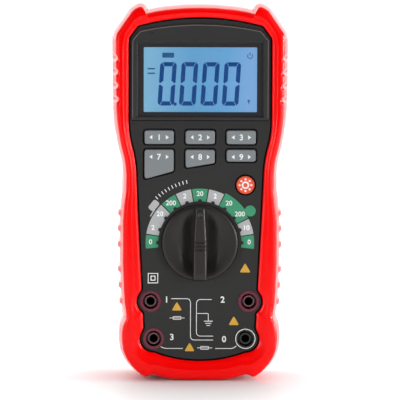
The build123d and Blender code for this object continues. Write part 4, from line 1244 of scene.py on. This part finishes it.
def white_room(strength):
    """Surround that is white overhead and behind the meter and dim in front of it, and
    that shows itself as plain white."""
    world = bpy.data.worlds.new("white_room")
    world.use_nodes = True
    tree = world.node_tree
    tree.nodes.clear()
    spread = {
        "interpolation_type": "SMOOTHSTEP", "From Min": -0.20, "From Max": 0.60, "To Min": 0.05,
        "To Max": strength,
    }
    nodes = {
        "end": ("OutputWorld", (700, 0)),
        "room": ("Background", (400, -100)),
        "seen": ("Background", (400, 100), {"Color": (1, 1, 1, 1), "Strength": 1.0}),
        "way": ("TexCoord", (-700, 0)),
        "split": ("SeparateXYZ", (-500, 0)),
        "lean": ("Math", (-300, 0), {"operation": "MULTIPLY_ADD", 1: 0.3}),
        "bright": ("MapRange", (-100, 0), spread),
        "path": ("LightPath", (400, 400)),
        "choose": ("MixShader", (550, 100)),
    }
    links = (
        "way.Generated > split.Vector", "split.Z > lean.0", "split.Y > lean.2",
        "lean.0 > bright.Value", "bright.Result > room.Strength",
        "path.Is Camera Ray > choose.Fac", "room.Background > choose.1",
        "seen.Background > choose.2", "choose.Shader > end.Surface",
    )
    build_graph(tree, nodes, links)
    return world


def floor_paper(strength):
    """Pale paper that glows away from the meter, by the smooth step of a distance that
    counts more than double sideways, so the shadow near the foot stays."""
    paper = finish_material(
        "pale_floor", (0.79, 0.79, 0.79), roughness=0.50, mottle=0.0, smear=0.05,
        grain_depth=0.0, Specular_IOR_Level=0.06, Emission_Color=(1, 1, 1, 1)
    )
    spread = {
        "interpolation_type": "SMOOTHSTEP", "From Min": 0.07, "From Max": 0.20,
        "To Max": strength,
    }
    nodes = {
        "place": ("TexCoord", (-700, 300)),
        "narrow": ("VectorMath", (-500, 300), {"operation": "MULTIPLY", 1: (2.2, 1, 1)}),
        "reach": ("VectorMath", (-300, 300), {"operation": "LENGTH"}),
        "glow": ("MapRange", (-100, 300), spread),
    }
    links = (
        "place.Object > narrow.0", "narrow.Vector > reach.0", "reach.Value > glow.Value",
        "glow.Result > shader.Emission Strength",
    )
    tree = paper.node_tree
    build_graph(tree, nodes, links, shader=tree.nodes["Principled BSDF"])
    return paper


class METER_OT_stage(bpy.types.Operator):
    """Set the pale floor, the soft lights and the camera"""

    bl_idname = "meter.stage"
    bl_label = "Stage"

    def execute(self, context):
        settings = context.scene.meter_stage
        scene = context.scene
        # one flat sheet, a hair below the meter's foot, cut short in front of it
        mesh = bpy.data.meshes.new("floor")
        corners = np.full((4, 3), FLOOR_LEVEL)
        corners[:, 0] = FLOOR_REACH * np.array([-1, 1, 1, -1])
        corners[:, 1] = FLOOR_FRONT, FLOOR_FRONT, FLOOR_REACH, FLOOR_REACH
        mesh.from_pydata(corners.tolist(), [], [(0, 1, 2, 3)])
        mesh.materials.append(floor_paper(settings.floor_glow))
        floor = bpy.data.objects.new("floor", mesh)
        scene.collection.objects.link(floor)

        scene.world = white_room(settings.surround)
        scene.view_settings.view_transform = "Standard"
        aim = (0, -0.0185, settings.aim_height)
        for name, (place, size, share) in LIGHTS.items():
            area_light(name, place, aim, size, settings.key_power * share)

        camera = bpy.data.cameras.new("camera")
        camera.lens = camera.sensor_width * settings.distance / settings.view_width
        camera.clip_start, camera.clip_end = 0.05, 20
        holder = bpy.data.objects.new("camera", camera)
        scene.collection.objects.link(holder)
        lift, turn = settings.elevation, settings.azimuth
        ahead = np.array([-np.sin(turn) * np.cos(lift), -np.cos(turn) * np.cos(lift), np.sin(lift)])
        holder.location = np.array(aim) + settings.distance * ahead
        holder.rotation_euler = (np.pi / 2 - lift, 0, -turn)
        holder.rotation_euler.rotate_axis("Z", settings.roll)
        scene.camera = holder
        return {"FINISHED"}


# ---------------------------------------------------------------- add-on


SETTINGS = {
    "meter_holster": HolsterSettings,
    "meter_knob": KnobSettings,
    "meter_print": PrintSettings,
    "meter_display": DisplaySettings,
    "meter_stage": StageSettings,
}
OPERATORS = (
    METER_OT_finishes,
    METER_OT_holster,
    METER_OT_knob,
    METER_OT_dial_print,
    METER_OT_panel_print,
    METER_OT_key_marks,
    METER_OT_display,
    METER_OT_stage,
)


class METER_PT_panel(bpy.types.Panel):
    """Sizes, colours and build steps of the meter"""

    bl_label = "Digital multimeter"
    bl_space_type = "VIEW_3D"
    bl_region_type = "UI"
    bl_category = "Meter"

    def draw(self, context):
        layout = self.layout
        for operator in OPERATORS:
            layout.operator(operator.bl_idname)
        for name, group in SETTINGS.items():
            box = layout.box()
            for setting in group.__annotations__:
                box.prop(getattr(context.scene, name), setting)


CLASSES = (*SETTINGS.values(), *OPERATORS, METER_PT_panel)


def register():
    """Add the classes, and the settings on each scene."""
    for item in CLASSES:
        bpy.utils.register_class(item)
    for name, group in SETTINGS.items():
        setattr(bpy.types.Scene, name, bpy.props.PointerProperty(type=group))


def unregister():
    """Take the settings and the classes away again."""
    for name in SETTINGS:
        delattr(bpy.types.Scene, name)
    for item in reversed(CLASSES):
        bpy.utils.unregister_class(item)


def main():
    """Build every piece in order."""
    register()
    bpy.ops.meter.finishes()
    bpy.ops.meter.holster()
    bpy.ops.meter.knob()
    bpy.ops.meter.dial_print()
    bpy.ops.meter.panel_print()
    bpy.ops.meter.key_marks()
    bpy.ops.meter.display()
    bpy.ops.meter.stage()


if __name__ == "__main__":
    main()
